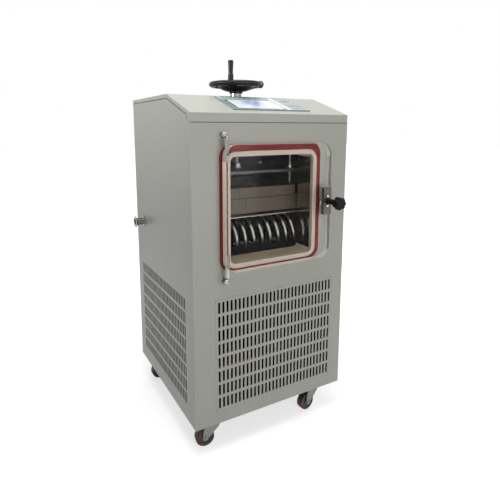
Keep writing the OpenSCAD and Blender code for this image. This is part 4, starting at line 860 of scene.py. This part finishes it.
class DRYER_OT_latch(Operator):
    """Build the latch: gasket, block, screws, neck and star knob"""
    bl_idname = "dryer.latch"
    bl_label = "Latch"

    def execute(self, context):
        x, z = LATCH
        face = DOOR_FACE - 13         # front of the latch block
        soften("latch_block", 1.2)
        bm = bmesh.new()
        front, back = DOOR_FACE - 1.2, DOOR_FACE - 0.1
        for side in (-1, 1):
            block(bm, (x + side * 15.4 - 1.3, front, z - 46.4),
                  (x + side * 16.9 + 1.1, back, z + 46.4))
            block(bm, (x - 15, front, z + side * 44.6 - 1.8),
                  (x + 15, back, z + side * 44.6 + 1.8))
        piece("latch_gasket", bm, "door", "seal_silicone", "pale gasket", angle=30)
        bm = bmesh.new()
        for side in (-1, 1):
            turned(bm, (x, face, z + side * 15), OUT,
                   [(3.9, 0), (4, 0.3), (4, 1.3), (3.2, 2.2), (2.2, 2.5), (2.1, 1.2), (0.2, 1.1)],
                   sides=28)
        piece("latch_screw_heads", bm, "door", "bright_steel", "plated screw", angle=40,
              replaces=("latch_screws",))
        bm = bmesh.new()
        stem = [(4.2, 0.4), (9.6, 0.4), (10, 1), (10, 4), (9.2, 5.2), (8.6, 9), (8.4, 24), (9, 33),
                (11.5, 40), (12, 42), (4.2, 42)]
        turned(bm, (x, face, z), OUT, stem, sides=context.scene.dryer_sizes.sides, loop=True)
        knob = [(6, 0.4), (13, 0.4), (17.5, 1.4), (19.6, 4.5), (20, 9), (20, 18), (19.2, 22.6),
                (16.5, 25.8), (12, 27), (10.6, 26.4), (9.4, 26.2), (0.4, 26.9)]
        turned(bm, (x, face - 40, z), OUT, knob, sides=112, lobes=7, depth=0.17)
        piece("star_knob", bm, "latch", "knob_black", "matt black", angle=50,
              replaces=("latch_knob",))
        return {"FINISHED"}


class DRYER_OT_hinges(Operator):
    """Build the domed upper post with its hooked pin, the socketed lower post and the bushes"""
    bl_idname = "dryer.hinges"
    bl_label = "Hinges"

    def execute(self, context):
        x, y = HINGE
        top, low = DOOR_TOP + 27.5, DOOR_LOW - 27.5
        post_x, root = x - 3.5, -270
        bm = bmesh.new()
        turned(bm, (post_x, root, top), OUT,
               [(10.8, 0), (10.8, 1.2), (9.2, 2), (9.2, 9), (8.9, 12), (7.8, 15), (5.8, 17.4),
                (3.2, 18.8), (0.3, 19.2)])
        hook = [(post_x, root - 10, top + 3), (post_x + 0.4, root - 16, top + 3.4),
                (x - 1.2, root - 18.6, top + 2.4), (x - 0.2, root - 19.6, top - 1.5),
                (x, y, top - 6), (x, y, DOOR_TOP - 12)]
        swept(bm, bent_path(hook), 3.6, sides=20, up=(1, 0, 0))
        turned(bm, (post_x, root, low), OUT,
               [(10.8, 0), (10.8, 1.2), (8.8, 2), (8.8, 17), (9.6, 17.6), (9.9, 19), (9.9, 25.5),
                (9, 26.6), (7, 26.9), (6.6, 26.2), (5.2, 24.2), (0.3, 24)])
        turned(bm, (x, y, low - 4), UP, [(3.9, 0), (3.9, 44)], sides=24)
        piece("hinge_posts_dressed", bm, "cabinet", "bright_steel", "post steel", angle=40,
              replaces=("hinge_posts", "hinge_pins"))
        bm = bmesh.new()
        for foot, span, material in ((DOOR_LOW - 16, 67, 0), (DOOR_TOP - 30, 46, 1)):
            profile = [(4.1, 0), (5.4, 0), (5.9, 0.5)]
            groove = 2.0
            while groove < span - 2:
                profile += [(5.9, groove), (5.3, groove + 0.6), (5.3, groove + 1.1),
                            (5.9, groove + 1.7)]
                groove += 3.0
            profile += [(5.9, span - 0.5), (5.4, span), (4.1, span)]
            turned(bm, (x, y, foot), UP, profile, sides=32, loop=True, material=material)
        piece("hinge_bushes", bm, "door", "bush_nylon", "bush nylon", "frosted acrylic", angle=50,
              replaces=("door_bushes",))
        return {"FINISHED"}


# ------------------------------------------------------------- control deck

DECK_EDGE = (-270, 1030)      # front edge of the sloping deck, y and height
DECK_RUN, DECK_RISE = 178.7, 59
DECK_ANGLE = math.atan(DECK_RISE / DECK_RUN)
FASCIA = (-127, 147, 31.2, 170.2)     # left, right, low and high, measured up the slope
SCREEN = (-107, 57, 40.2, 132.2)
FILM = 3.05                   # level of the film over the deck


def on_deck(u, v, level):
    """Places outlines on the deck: u to the right, v up the slope, level off its surface."""
    return (u, DECK_EDGE[0] + v * math.cos(DECK_ANGLE) - level * math.sin(DECK_ANGLE),
            DECK_EDGE[1] + v * math.sin(DECK_ANGLE) + level * math.cos(DECK_ANGLE))


def plate_on_deck(bm, left, right, low, high, base, top, r=0.0, material=0):
    outline = oblong(left, right, low, high)
    if r:
        outline = [((left + right) / 2 + u, (low + high) / 2 + v)
                   for u, v in rounded(right - left, high - low, r)]
    slab(bm, outline, on_deck, base, top, material)


class DRYER_OT_controls(Operator):
    """Build the control fascia, its printed zones, the screen and the key pad"""
    bl_idname = "dryer.controls"
    bl_label = "Controls"

    def execute(self, context):
        left, right, low, high = FASCIA
        soften("control_fascia", 0.8)
        bm = bmesh.new()
        print_top = FILM + 0.3
        plate_on_deck(bm, left + 3, SCREEN[1] + 4, SCREEN[3] + 4, high - 3, FILM, print_top, 2)
        plate_on_deck(bm, 80, right - 3, low + 3, high - 3, FILM, print_top, 2, 1)
        plate_on_deck(bm, SCREEN[1] + 5, 79, low + 3, high - 3, FILM, print_top, 1, 2)
        piece("fascia_print", bm, "cabinet", "fascia_film", "film pale", "film grey", "film white",
              angle=30)
        bm = bmesh.new()
        for k in range(3):
            for row in range(3):
                u, v = 91 + 17 * k, 52 + 17 * row
                plate_on_deck(bm, u, u + 13, v, v + 12, print_top, FILM + 0.9, 2)
        plate_on_deck(bm, 96, 128, 128, 133, print_top, FILM + 0.5, 0, 1)
        piece("key_pad", bm, "cabinet", "fascia_film", "film grey", "film dark", bevel=0.3)
        bm = bmesh.new()
        left, right, low, high = SCREEN
        plate_on_deck(bm, left + 0.5, right - 0.5, low + 0.5, high - 0.5, 2.2, 3.0)
        piece("screen_glass", bm, "cabinet", "screen", "screen", bevel=0.2)
        bm = bmesh.new()
        rim = 2.4
        plate_on_deck(bm, left - 0.2, right + 0.2, low - 0.2, low + rim, 2.6, 3.3)
        plate_on_deck(bm, left - 0.2, left + rim, low + rim, high, 2.6, 3.3)
        plate_on_deck(bm, left + rim, right + 86, high + 34.4, high + 36.2, 3.0, 3.45)
        piece("screen_rim", bm, "cabinet", "screen", "film dark", angle=30)
        return {"FINISHED"}


# ------------------------------------------------------------- chamber inside

CHAMBER = (-192, 163, -199, 110, 560, 935)      # inner faces: left, right, front, back, low, high
GUIDES = [(x, y) for x in (-166.5, 137.5) for y in (-141.5, 52.5)]
PLATE_TOP = 856
TRAY = (-156.5, 127.5, -188, 99)      # outline of the tray: left, right, front, back
TRAY_RIM = 803.6


class DRYER_OT_chamber(Operator):
    """Line the chamber: a bright right wall as painted reflection, dark others as painted shade, a
    tinted neck
    """
    bl_idname = "dryer.chamber"
    bl_label = "Chamber"

    def execute(self, context):
        left, right, front, back, low, high = CHAMBER

        def lining(face):
            dark, bright, tinted = range(3)
            spot = in_mm(face.calc_center_median())
            inside = (left - 1 < spot.x < right + 1 and front - 1 < spot.y < back + 1
                      and low - 1 < spot.z < high + 1)
            neck = spot.y < front and left < spot.x < right and low < spot.z < high
            # The right wall takes the painted reflection; the other walls take the painted shade
            if (inside or neck) and face.normal.x < -0.9:
                return bright
            return tinted if neck else dark
        recut("chamber_shell", "chamber", "cabinet", "stainless", "chamber shade steel", "painted reflection steel",
              "sill steel", choose=lining, angle=30)
        return {"FINISHED"}


class DRYER_OT_shelves(Operator):
    """Soften the shelf, tray, baffle and press plate, and add rim, weld lines and nuts"""
    bl_idname = "dryer.shelves"
    bl_label = "Shelves"

    def execute(self, context):
        for node in ("heated_shelf", "product_tray", "baffle_plate", "press_plate"):
            soften(node, 0.7)
        bm = bmesh.new()
        left, right, front, back = TRAY
        swept(bm, [((left + right) / 2 + u, (front + back) / 2 + v, TRAY_RIM)
                   for u, v in rounded(right - left - 2, back - front - 2, 3, steps=4)],
              1.3, sides=10, loop=True)
        piece("tray_rim", bm, "cabinet", "stainless", "shelf metal", angle=60)
        bm = bmesh.new()
        block(bm, (-60, -187.3, 726), (-59.2, -186.1, 769))
        block(bm, (-84, -189, 773), (-83.3, -188, 803))
        block(bm, (left, -189.2, 770.8), (right, -187.6, 772.6))
        piece("weld_lines", bm, "cabinet", "shelf_aluminium", "chamber shade steel", angle=30)
        bm = bmesh.new()
        for x, y in GUIDES:
            turned(bm, (x, y, PLATE_TOP), UP,
                   [(6.2, 0), (12.5, 0), (12.8, 0.4), (12.8, 2), (10.8, 2.2), (10.8, 9), (10, 9.8),
                    (6.2, 9.8)], sides=32, loop=True)
        slab(bm, hexagon(26), lying(*HUB), PLATE_TOP, PLATE_TOP + 13.6)
        turned(bm, (*HUB, PLATE_TOP), UP, [(8.1, 0), (19, 0), (19, 2.2), (8.1, 2.2)],
               sides=36, loop=True)
        piece("plate_nuts", bm, "press", "bright_steel", "nut steel", bevel=0.5,
              replaces=("press_fasteners",))
        return {"FINISHED"}


# ------------------------------------------------------------- machine bay

COMPRESSOR = (115, 70, 118)   # axis x and y, and height of the shell's bottom
FEET = [(sx * 32, sy * 32) for sx in (-1, 1) for sy in (-1, 1)]
FOOT_LOW = 98                 # height of the base plate's top
FAN = (-183.5, 5.5, 278)      # middle of the fan
BLADES = 5


class DRYER_OT_compressor(Operator):
    """Build the welded compressor shell with its feet and their rubber mounts"""
    bl_idname = "dryer.compressor"
    bl_label = "Compressor"

    def execute(self, context):
        x, y, z = COMPRESSOR
        bm = bmesh.new()
        turned(bm, (x, y, z), UP,
               [(0.4, 0), (40, 0), (58, 3), (70, 11), (77, 22), (79, 34), (79, 118), (79.9, 120),
                (79.9, 131), (79, 133), (79, 198), (76, 209), (68, 219), (54, 226.5), (36, 229.6),
                (0.4, 230)], sides=64)
        for u, v in FEET:
            block(bm, (x + u - 13, y + v - 13, z + 0.2), (x + u + 13, y + v + 13, z + 3))
        piece("compressor_shell", bm, "cabinet", "motor_black", "shell enamel", bevel=0.6,
              angle=30, replaces=("compressor",))
        bm = bmesh.new()
        for u, v in FEET:
            turned(bm, (x + u, y + v, FOOT_LOW), UP,
                   [(0.4, 0), (11.6, 0), (12, 1), (12, 6), (9, 8), (9, 12), (11.6, 14), (12, 16),
                    (12, 19), (11, 20), (0.4, 20)], sides=28)
        piece("compressor_feet", bm, "cabinet", "mount_rubber", "mount rubber", angle=40,
              replaces=("compressor_mounts",))
        return {"FINISHED"}


def blade_rows(turn):
    """Points across one fan blade, from its root to its tip: it widens and loses pitch."""
    x, y, z = FAN
    rows = []
    for i in range(9):
        t = i / 8
        r = 23 + 94.5 * t
        width = 30 + 22 * math.sin(math.pi * min(t * 1.1, 1)) * (1 - 0.25 * t)
        pitch = math.radians(52 - 22 * t)
        row = []
        for k in range(9):
            u = (k / 8 - 0.5) * width
            bow = 2.2 * math.cos(math.pi * k / 8 * 2 - math.pi)
            a = turn + u * math.cos(pitch) / max(r, 40)
            row.append(Vector((x + 6 + (-u * math.sin(pitch) * 0.55 + bow),
                               y + r * math.cos(a), z + r * math.sin(a))))
        rows.append(row)
    return rows


class DRYER_OT_fan(Operator):
    """Build the fan's hub and its twisted blades"""
    bl_idname = "dryer.fan"
    bl_label = "Fan"

    def execute(self, context):
        x, y, z = FAN
        half = Vector((0.9, 0, 0))
        bm = bmesh.new()
        turned(bm, (x - 6, y, z), (1, 0, 0),
               [(0.4, 0), (20, 0), (25, 1.5), (26, 4), (26, 22), (25.4, 24), (5.2, 24), (5.2, 10),
                (0.4, 10)], sides=36)
        for blade in range(BLADES):
            skin(bm, [[p + half for p in row] + [p - half for p in row[::-1]]
                      for row in blade_rows(math.tau * blade / BLADES)])
        piece("fan_rotor", bm, "fan", "black_plastic", "black plastic", angle=35,
              replaces=("fan_blades",))
        return {"FINISHED"}


class DRYER_OT_bay_shade(Operator):
    """Hang near-black sheets behind the vents of the side and rear panels: painted shade of the bay
    """
    bl_idname = "dryer.mats"
    bl_label = "Bay shade"

    def execute(self, context):
        # Painted shade: black sheets fill the view through the vents, where the bay lies in shade
        bm = bmesh.new()
        low = 142
        block(bm, (268.5, -208, low), (272, 219, 500))
        block(bm, (-224, 264.5, low), (-90, 267, 432))
        block(bm, (-26, 264.5, low), (224, 267, 432))
        block(bm, (-272, -208, low), (-268.5, 219, 500))
        piece("bay_shade_sheets", bm, "cabinet", "foam", "bay shade sheet", angle=30)
        return {"FINISHED"}


# ------------------------------------------------------------------ casters

# Each caster's name, corner and yaw in degrees
CORNERS = (("front_left", -1, -1, 172), ("front_right", 1, -1, 188),
           ("rear_left", -1, 1, 180), ("rear_right", 1, 1, 176))
SWIVEL = (195, 222)           # swivel axes from the middle of the cabinet, x and y
AXLE = (30, 0, 30)            # middle of the axle in the caster's own place
TREAD = 21                    # radius where a wheel's tread begins
FORK_TOP = 84

# Leg of a pressed fork, seen from its side: along the trail, and height
LEG = [(-20, FORK_TOP), (-20.5, 76), (-13, 62), (20.2, 29.5), (22.5, 25), (26.5, 21.8),
       (31, 21.1), (35.5, 22.9), (38.4, 26.8), (39, 31), (36, 56), (29, 72), (21, FORK_TOP)]


def at_caster(sx, sy, yaw):
    """Turns a point of a caster, trailing along +X, into its place under the cabinet."""
    turn = Matrix.Rotation(math.radians(yaw), 3, "Z")
    place = Vector((sx * SWIVEL[0], sy * SWIVEL[1], 0))
    return lambda p: place + turn @ Vector(p)


class DRYER_OT_casters(Operator):
    """Build the casters: pressed forks, bearing races, axle nuts and treaded wheels"""
    bl_idname = "dryer.casters"
    bl_label = "Casters"

    def execute(self, context):
        for name, sx, sy, yaw in CORNERS:
            put_at = at_caster(sx, sy, yaw)
            side = put_at((0, 1, 0)) - put_at((0, 0, 0))
            axle = put_at(AXLE)
            bm = bmesh.new()
            turned(bm, put_at((0, 0, FORK_TOP - 3)), UP,
                   [(5.5, 0), (21.5, 0), (23.5, 1), (23.5, 2.4), (23, 3), (5.5, 3)], loop=True)
            for s in (-1, 1):
                slab(bm, LEG, lambda u, v, level, s=s: put_at((u, s * level, v)), 14, 16.5)
            turned(bm, axle - side * 16.5, side, [(0.3, 0), (4, 0), (4, 33), (0.3, 33)], sides=24)
            piece(f"{name}_fork_pressed", bm, f"{name}_caster", "stainless", "zinc plate",
                  bevel=0.5, replaces=(f"{name}_fork",))
            bm = bmesh.new()
            turned(bm, axle - side * 12, side,
                   [(4.3, 0), (9.5, -1), (11, 0), (11.5, 3.4), (20, 4.4), (21.5, 2.2), (24, 0.6),
                    (28.4, 0.4), (29.6, 1.6), (30, 4), (30, 9.6), (29.5, 10.2), (29.5, 13.8),
                    (30, 14.4), (30, 20), (29.6, 22.4), (28.4, 23.6), (24, 23.4), (21.5, 21.8),
                    (20, 19.6), (11.5, 20.6), (11, 24), (9.5, 25), (4.3, 24)], sides=56, loop=True)
            for face in bm.faces:
                spot = face.calc_center_median() - axle
                out = (spot - side * spot.dot(side)).length
                face.material_index = 0 if out > TREAD else 1
            piece(f"{name}_wheel_dressed", bm, f"{name}_tyre", "tyre_rubber", "tyre",
                  "wheel core", angle=40, replaces=(f"{name}_wheel",))
            bm = bmesh.new()
            for s in (-1, 1):
                turned(bm, axle + side * s * 16.6, side * s,
                       [(0.3, 0), (6.6, 0), (7, 0.4), (7, 1), (5, 1.3), (5, 2.4), (4, 3),
                        (0.3, 3.1)], sides=24)
            turned(bm, put_at((0, 0, FORK_TOP + 0.3)), UP,
                   [(5.3, 0), (22.5, 0), (24, 1), (23.6, 3.2), (21.6, 4.4), (20.4, 6.8), (5.3, 7)],
                   loop=True)
            piece(f"{name}_race", bm, f"{name}_caster", "stainless", "zinc plate", angle=40)
        return {"FINISHED"}


# ----------------------------------------------------------- sheet and edges

FOLD = -245                   # seam between the front panel's fold and the side panel
LIP = 12                      # depth of the lid's side lip
LID_BACK = 269.5
LID_FRONT_LOW = 1005          # height of the lid's front edge


class DRYER_OT_seams(Operator):
    """Draw painted shadow in the gaps under the lid and at the corner notches; add rear screws and
    the seal's lip
    """
    bl_idname = "dryer.seams"
    bl_label = "Seams"

    def execute(self, context):
        half = (RIGHT - LEFT) / 2 / MM
        edge, height = DECK_EDGE
        ridge, high = edge + DECK_RUN, height + DECK_RISE - LIP
        low = height + (FOLD - edge) * math.tan(DECK_ANGLE) - LIP
        bm = bmesh.new()
        # Dark strips along the lid's lip and notches at the fold: painted shadow of the seams
        for side, proud, deep in ((-1, 0.12, 2.4), (1, -0.05, 0.7)):
            line = [(FOLD, low), (ridge, high), (LID_BACK, high), (LID_BACK, high - deep),
                    (ridge, high - deep), (FOLD, low - deep)]
            ends = side * (half - 1.4), side * (half + proud)
            slab(bm, line, lambda u, v, level: (level, u, v), *ends)
            block(bm, (min(ends), FOLD - 0.4, low - 14), (max(ends), FOLD + 1.6, low - 5))
        block(bm, (0.5 - half, edge - 0.12, LID_FRONT_LOW - 1.8),
              (half - 0.5, edge + 1.4, LID_FRONT_LOW))
        piece("seam_shadows", bm, "cabinet", "foam", "seam shade", angle=30)
        bm = bmesh.new()
        for x in (-264, 264):
            for z in (150, 400, 650, 900, 1060):
                turned(bm, (x, 270, z), (0, 1, 0),
                       [(0.3, 0), (4.4, 0), (4.6, 0.4), (4.2, 1.2), (2.6, 1.8), (2.2, 0.9),
                        (0.3, 0.9)], sides=24)
        piece("rear_screws", bm, "cabinet", "bright_steel", "nut steel", angle=30)
        bm = bmesh.new()
        block(bm, (-173.6, -277.24, 602), (-168, -277.04, 895))
        piece("seal_lip", bm, "cabinet", "seal_silicone", "seal lip", angle=30)
        return {"FINISHED"}


class DRYER_OT_edges(Operator):
    """Round the edges of the panels, lid, trim, seal, frame and fittings"""
    bl_idname = "dryer.edges"
    bl_label = "Edges"

    def execute(self, context):
        edge = context.scene.dryer_sizes.edge / MM
        for node in ("left_panel", "right_panel", "rear_panel", "front_panel"):
            soften(node, edge)
        soften("top_cover", edge * 1.6, angle=10)
        soften("mouth_trim", 2.0)
        soften("door_seal", 1.6)
        for node in ("front_grille", "latch_keeper", "frame", "coil_rails", "control_box",
                     "drain_valve", "drain_lever", "mains_inlet", "rocker_switch", "vacuum_port",
                     "fan_shroud", "fan_motor", "caster_plates", "press_housing", "rod_gland"):
            soften(node, 0.5)
        return {"FINISHED"}


# -------------------------------------------------------------------- stage

def lamp(name, place, aim, power, size, spread=180):
    data = bpy.data.lights.new(name, "AREA")
    data.energy = power
    data.shape = "RECTANGLE"
    data.size, data.size_y = size
    data.spread = math.radians(spread)
    obj = bpy.data.objects.new(name, data)
    bpy.context.scene.collection.objects.link(obj)
    obj.location = place
    obj.rotation_euler = (Vector(aim) - Vector(place)).to_track_quat("-Z", "Y").to_euler()


def backdrop_share(tree, through):
    """1 for a ray that shows the white backdrop, straight on or by way of metal and glass.

    Lamps don't shine through a refracting plate, so a ray that leaves a surface behind the
    clear door gets a share of the backdrop in their place."""
    path = put(tree, "ShaderNodeLightPath").outputs
    shown = reckon(tree, "MAXIMUM", path["Is Camera Ray"], path["Is Glossy Ray"])
    shown = reckon(tree, "MAXIMUM", shown, path["Is Transmission Ray"])
    behind = reckon(tree, "MINIMUM", path["Diffuse Depth"], 1.0)
    return times(tree, shown, minus(tree, 1.0, times(tree, behind, 1.0 - through)))


class DRYER_OT_stage(Operator):
    """Set the camera, the lamps, the sky and the floor"""
    bl_idname = "dryer.stage"
    bl_label = "Stage"

    def execute(self, context):
        scene = context.scene
        s = scene.dryer_studio
        view = bpy.data.cameras.new("view")
        view.lens, view.sensor_width = 31.45, 36
        view.shift_x, view.shift_y = 0.0155, -0.1016
        camera = bpy.data.objects.new("view", view)
        scene.collection.objects.link(camera)
        camera.location = (-0.7109, -1.3219, 0.988)
        camera.rotation_euler = [math.radians(a) for a in (80.77, 0.0, -29.24)]
        scene.camera = camera

        sky = bpy.data.worlds.new("sky")
        scene.world = sky
        sky.use_nodes = True
        tree = sky.node_tree
        tree.nodes.clear()
        seen = backdrop_share(tree, s.through)
        strength = put(tree, "ShaderNodeMix", {0: seen, 2: s.sky, 3: 1.0}).outputs[0]
        back = put(tree, "ShaderNodeBackground", {"Color": (1, 1, 1, 1), "Strength": strength})
        end = put(tree, "ShaderNodeOutputWorld", {"Surface": back.outputs[0]})
        end.is_active_output = True

        lamp("top lamp", (-0.2, -0.3, 2.3), (0, 0, 1.0), s.top, (1.2, 1.2))
        lamp("front lamp", (0.3, -2.6, 0.7), (0, -0.27, 0.5), s.front, (2.0, 1.0))
        lamp("left lamp", (-1.6, 0.05, 1.25), (-0.26, 0.0, 1.2), s.side, (1.2, 0.2), spread=44)
        lamp("fill lamp", (2.0, 1.9, 1.4), (0, 0, 0.7), s.fill, (1.6, 1.0))

        # The floor is white of itself far out, and near the object only as far as its shadow shows
        bpy.ops.mesh.primitive_plane_add(size=40, location=(0, 0, 0))
        floor = context.object
        floor.name = "floor"
        mat, tree, shader = blank("floor")
        place = object_place(tree)
        cloud = stretch(tree, noise(tree, place, 3.0), 0, 1, 0.99, 1.0)
        tree.links.new(tint(tree, (0.86, 0.86, 0.86), cloud), shader.inputs["Base Color"])
        shader.inputs["Roughness"].default_value = 0.9
        shader.inputs["Emission Color"].default_value = (1, 1, 1, 1)
        own = stretch(tree, length_of_vector(tree, place), 0.45, 1.3, 0.66, 1.0)
        tree.links.new(times(tree, backdrop_share(tree, s.through), own),
                       shader.inputs["Emission Strength"])
        floor.data.materials.append(mat)
        scene.view_settings.view_transform = "Standard"
        return {"FINISHED"}


OPERATORS = (
    DRYER_OT_stage, DRYER_OT_finishes, DRYER_OT_solids, DRYER_OT_handwheel, DRYER_OT_rod_end,
    DRYER_OT_grip, DRYER_OT_coil, DRYER_OT_door, DRYER_OT_latch, DRYER_OT_hinges,
    DRYER_OT_controls, DRYER_OT_chamber, DRYER_OT_shelves, DRYER_OT_compressor, DRYER_OT_fan,
    DRYER_OT_bay_shade, DRYER_OT_casters, DRYER_OT_seams, DRYER_OT_edges)


SETTINGS = (("dryer_colours", DryerColours), ("dryer_sizes", DryerSizes),
            ("dryer_studio", StudioSettings))


class DRYER_PT_sidebar(Panel):
    """Lists the pieces and their settings"""
    bl_idname = "DRYER_PT_sidebar"
    bl_label = "Freeze dryer"
    bl_space_type = "VIEW_3D"
    bl_region_type = "UI"
    bl_category = "Freeze dryer"

    def draw(self, context):
        for name, group in SETTINGS:
            for setting in group.__annotations__:
                self.layout.prop(getattr(context.scene, name), setting)
        for operator in OPERATORS:
            self.layout.operator(operator.bl_idname)


def register():
    for name, group in SETTINGS:
        bpy.utils.register_class(group)
        setattr(bpy.types.Scene, name, PointerProperty(type=group))
    for cls in (*OPERATORS, DRYER_PT_sidebar):
        bpy.utils.register_class(cls)


def unregister():
    for cls in (DRYER_PT_sidebar, *reversed(OPERATORS)):
        bpy.utils.unregister_class(cls)
    for name, group in reversed(SETTINGS):
        delattr(bpy.types.Scene, name)
        bpy.utils.unregister_class(group)


def main():
    register()
    for operator in OPERATORS:
        family, name = operator.bl_idname.split(".")
        getattr(getattr(bpy.ops, family), name)()
    bpy.context.view_layer.update()


if __name__ == "__main__":
    main()
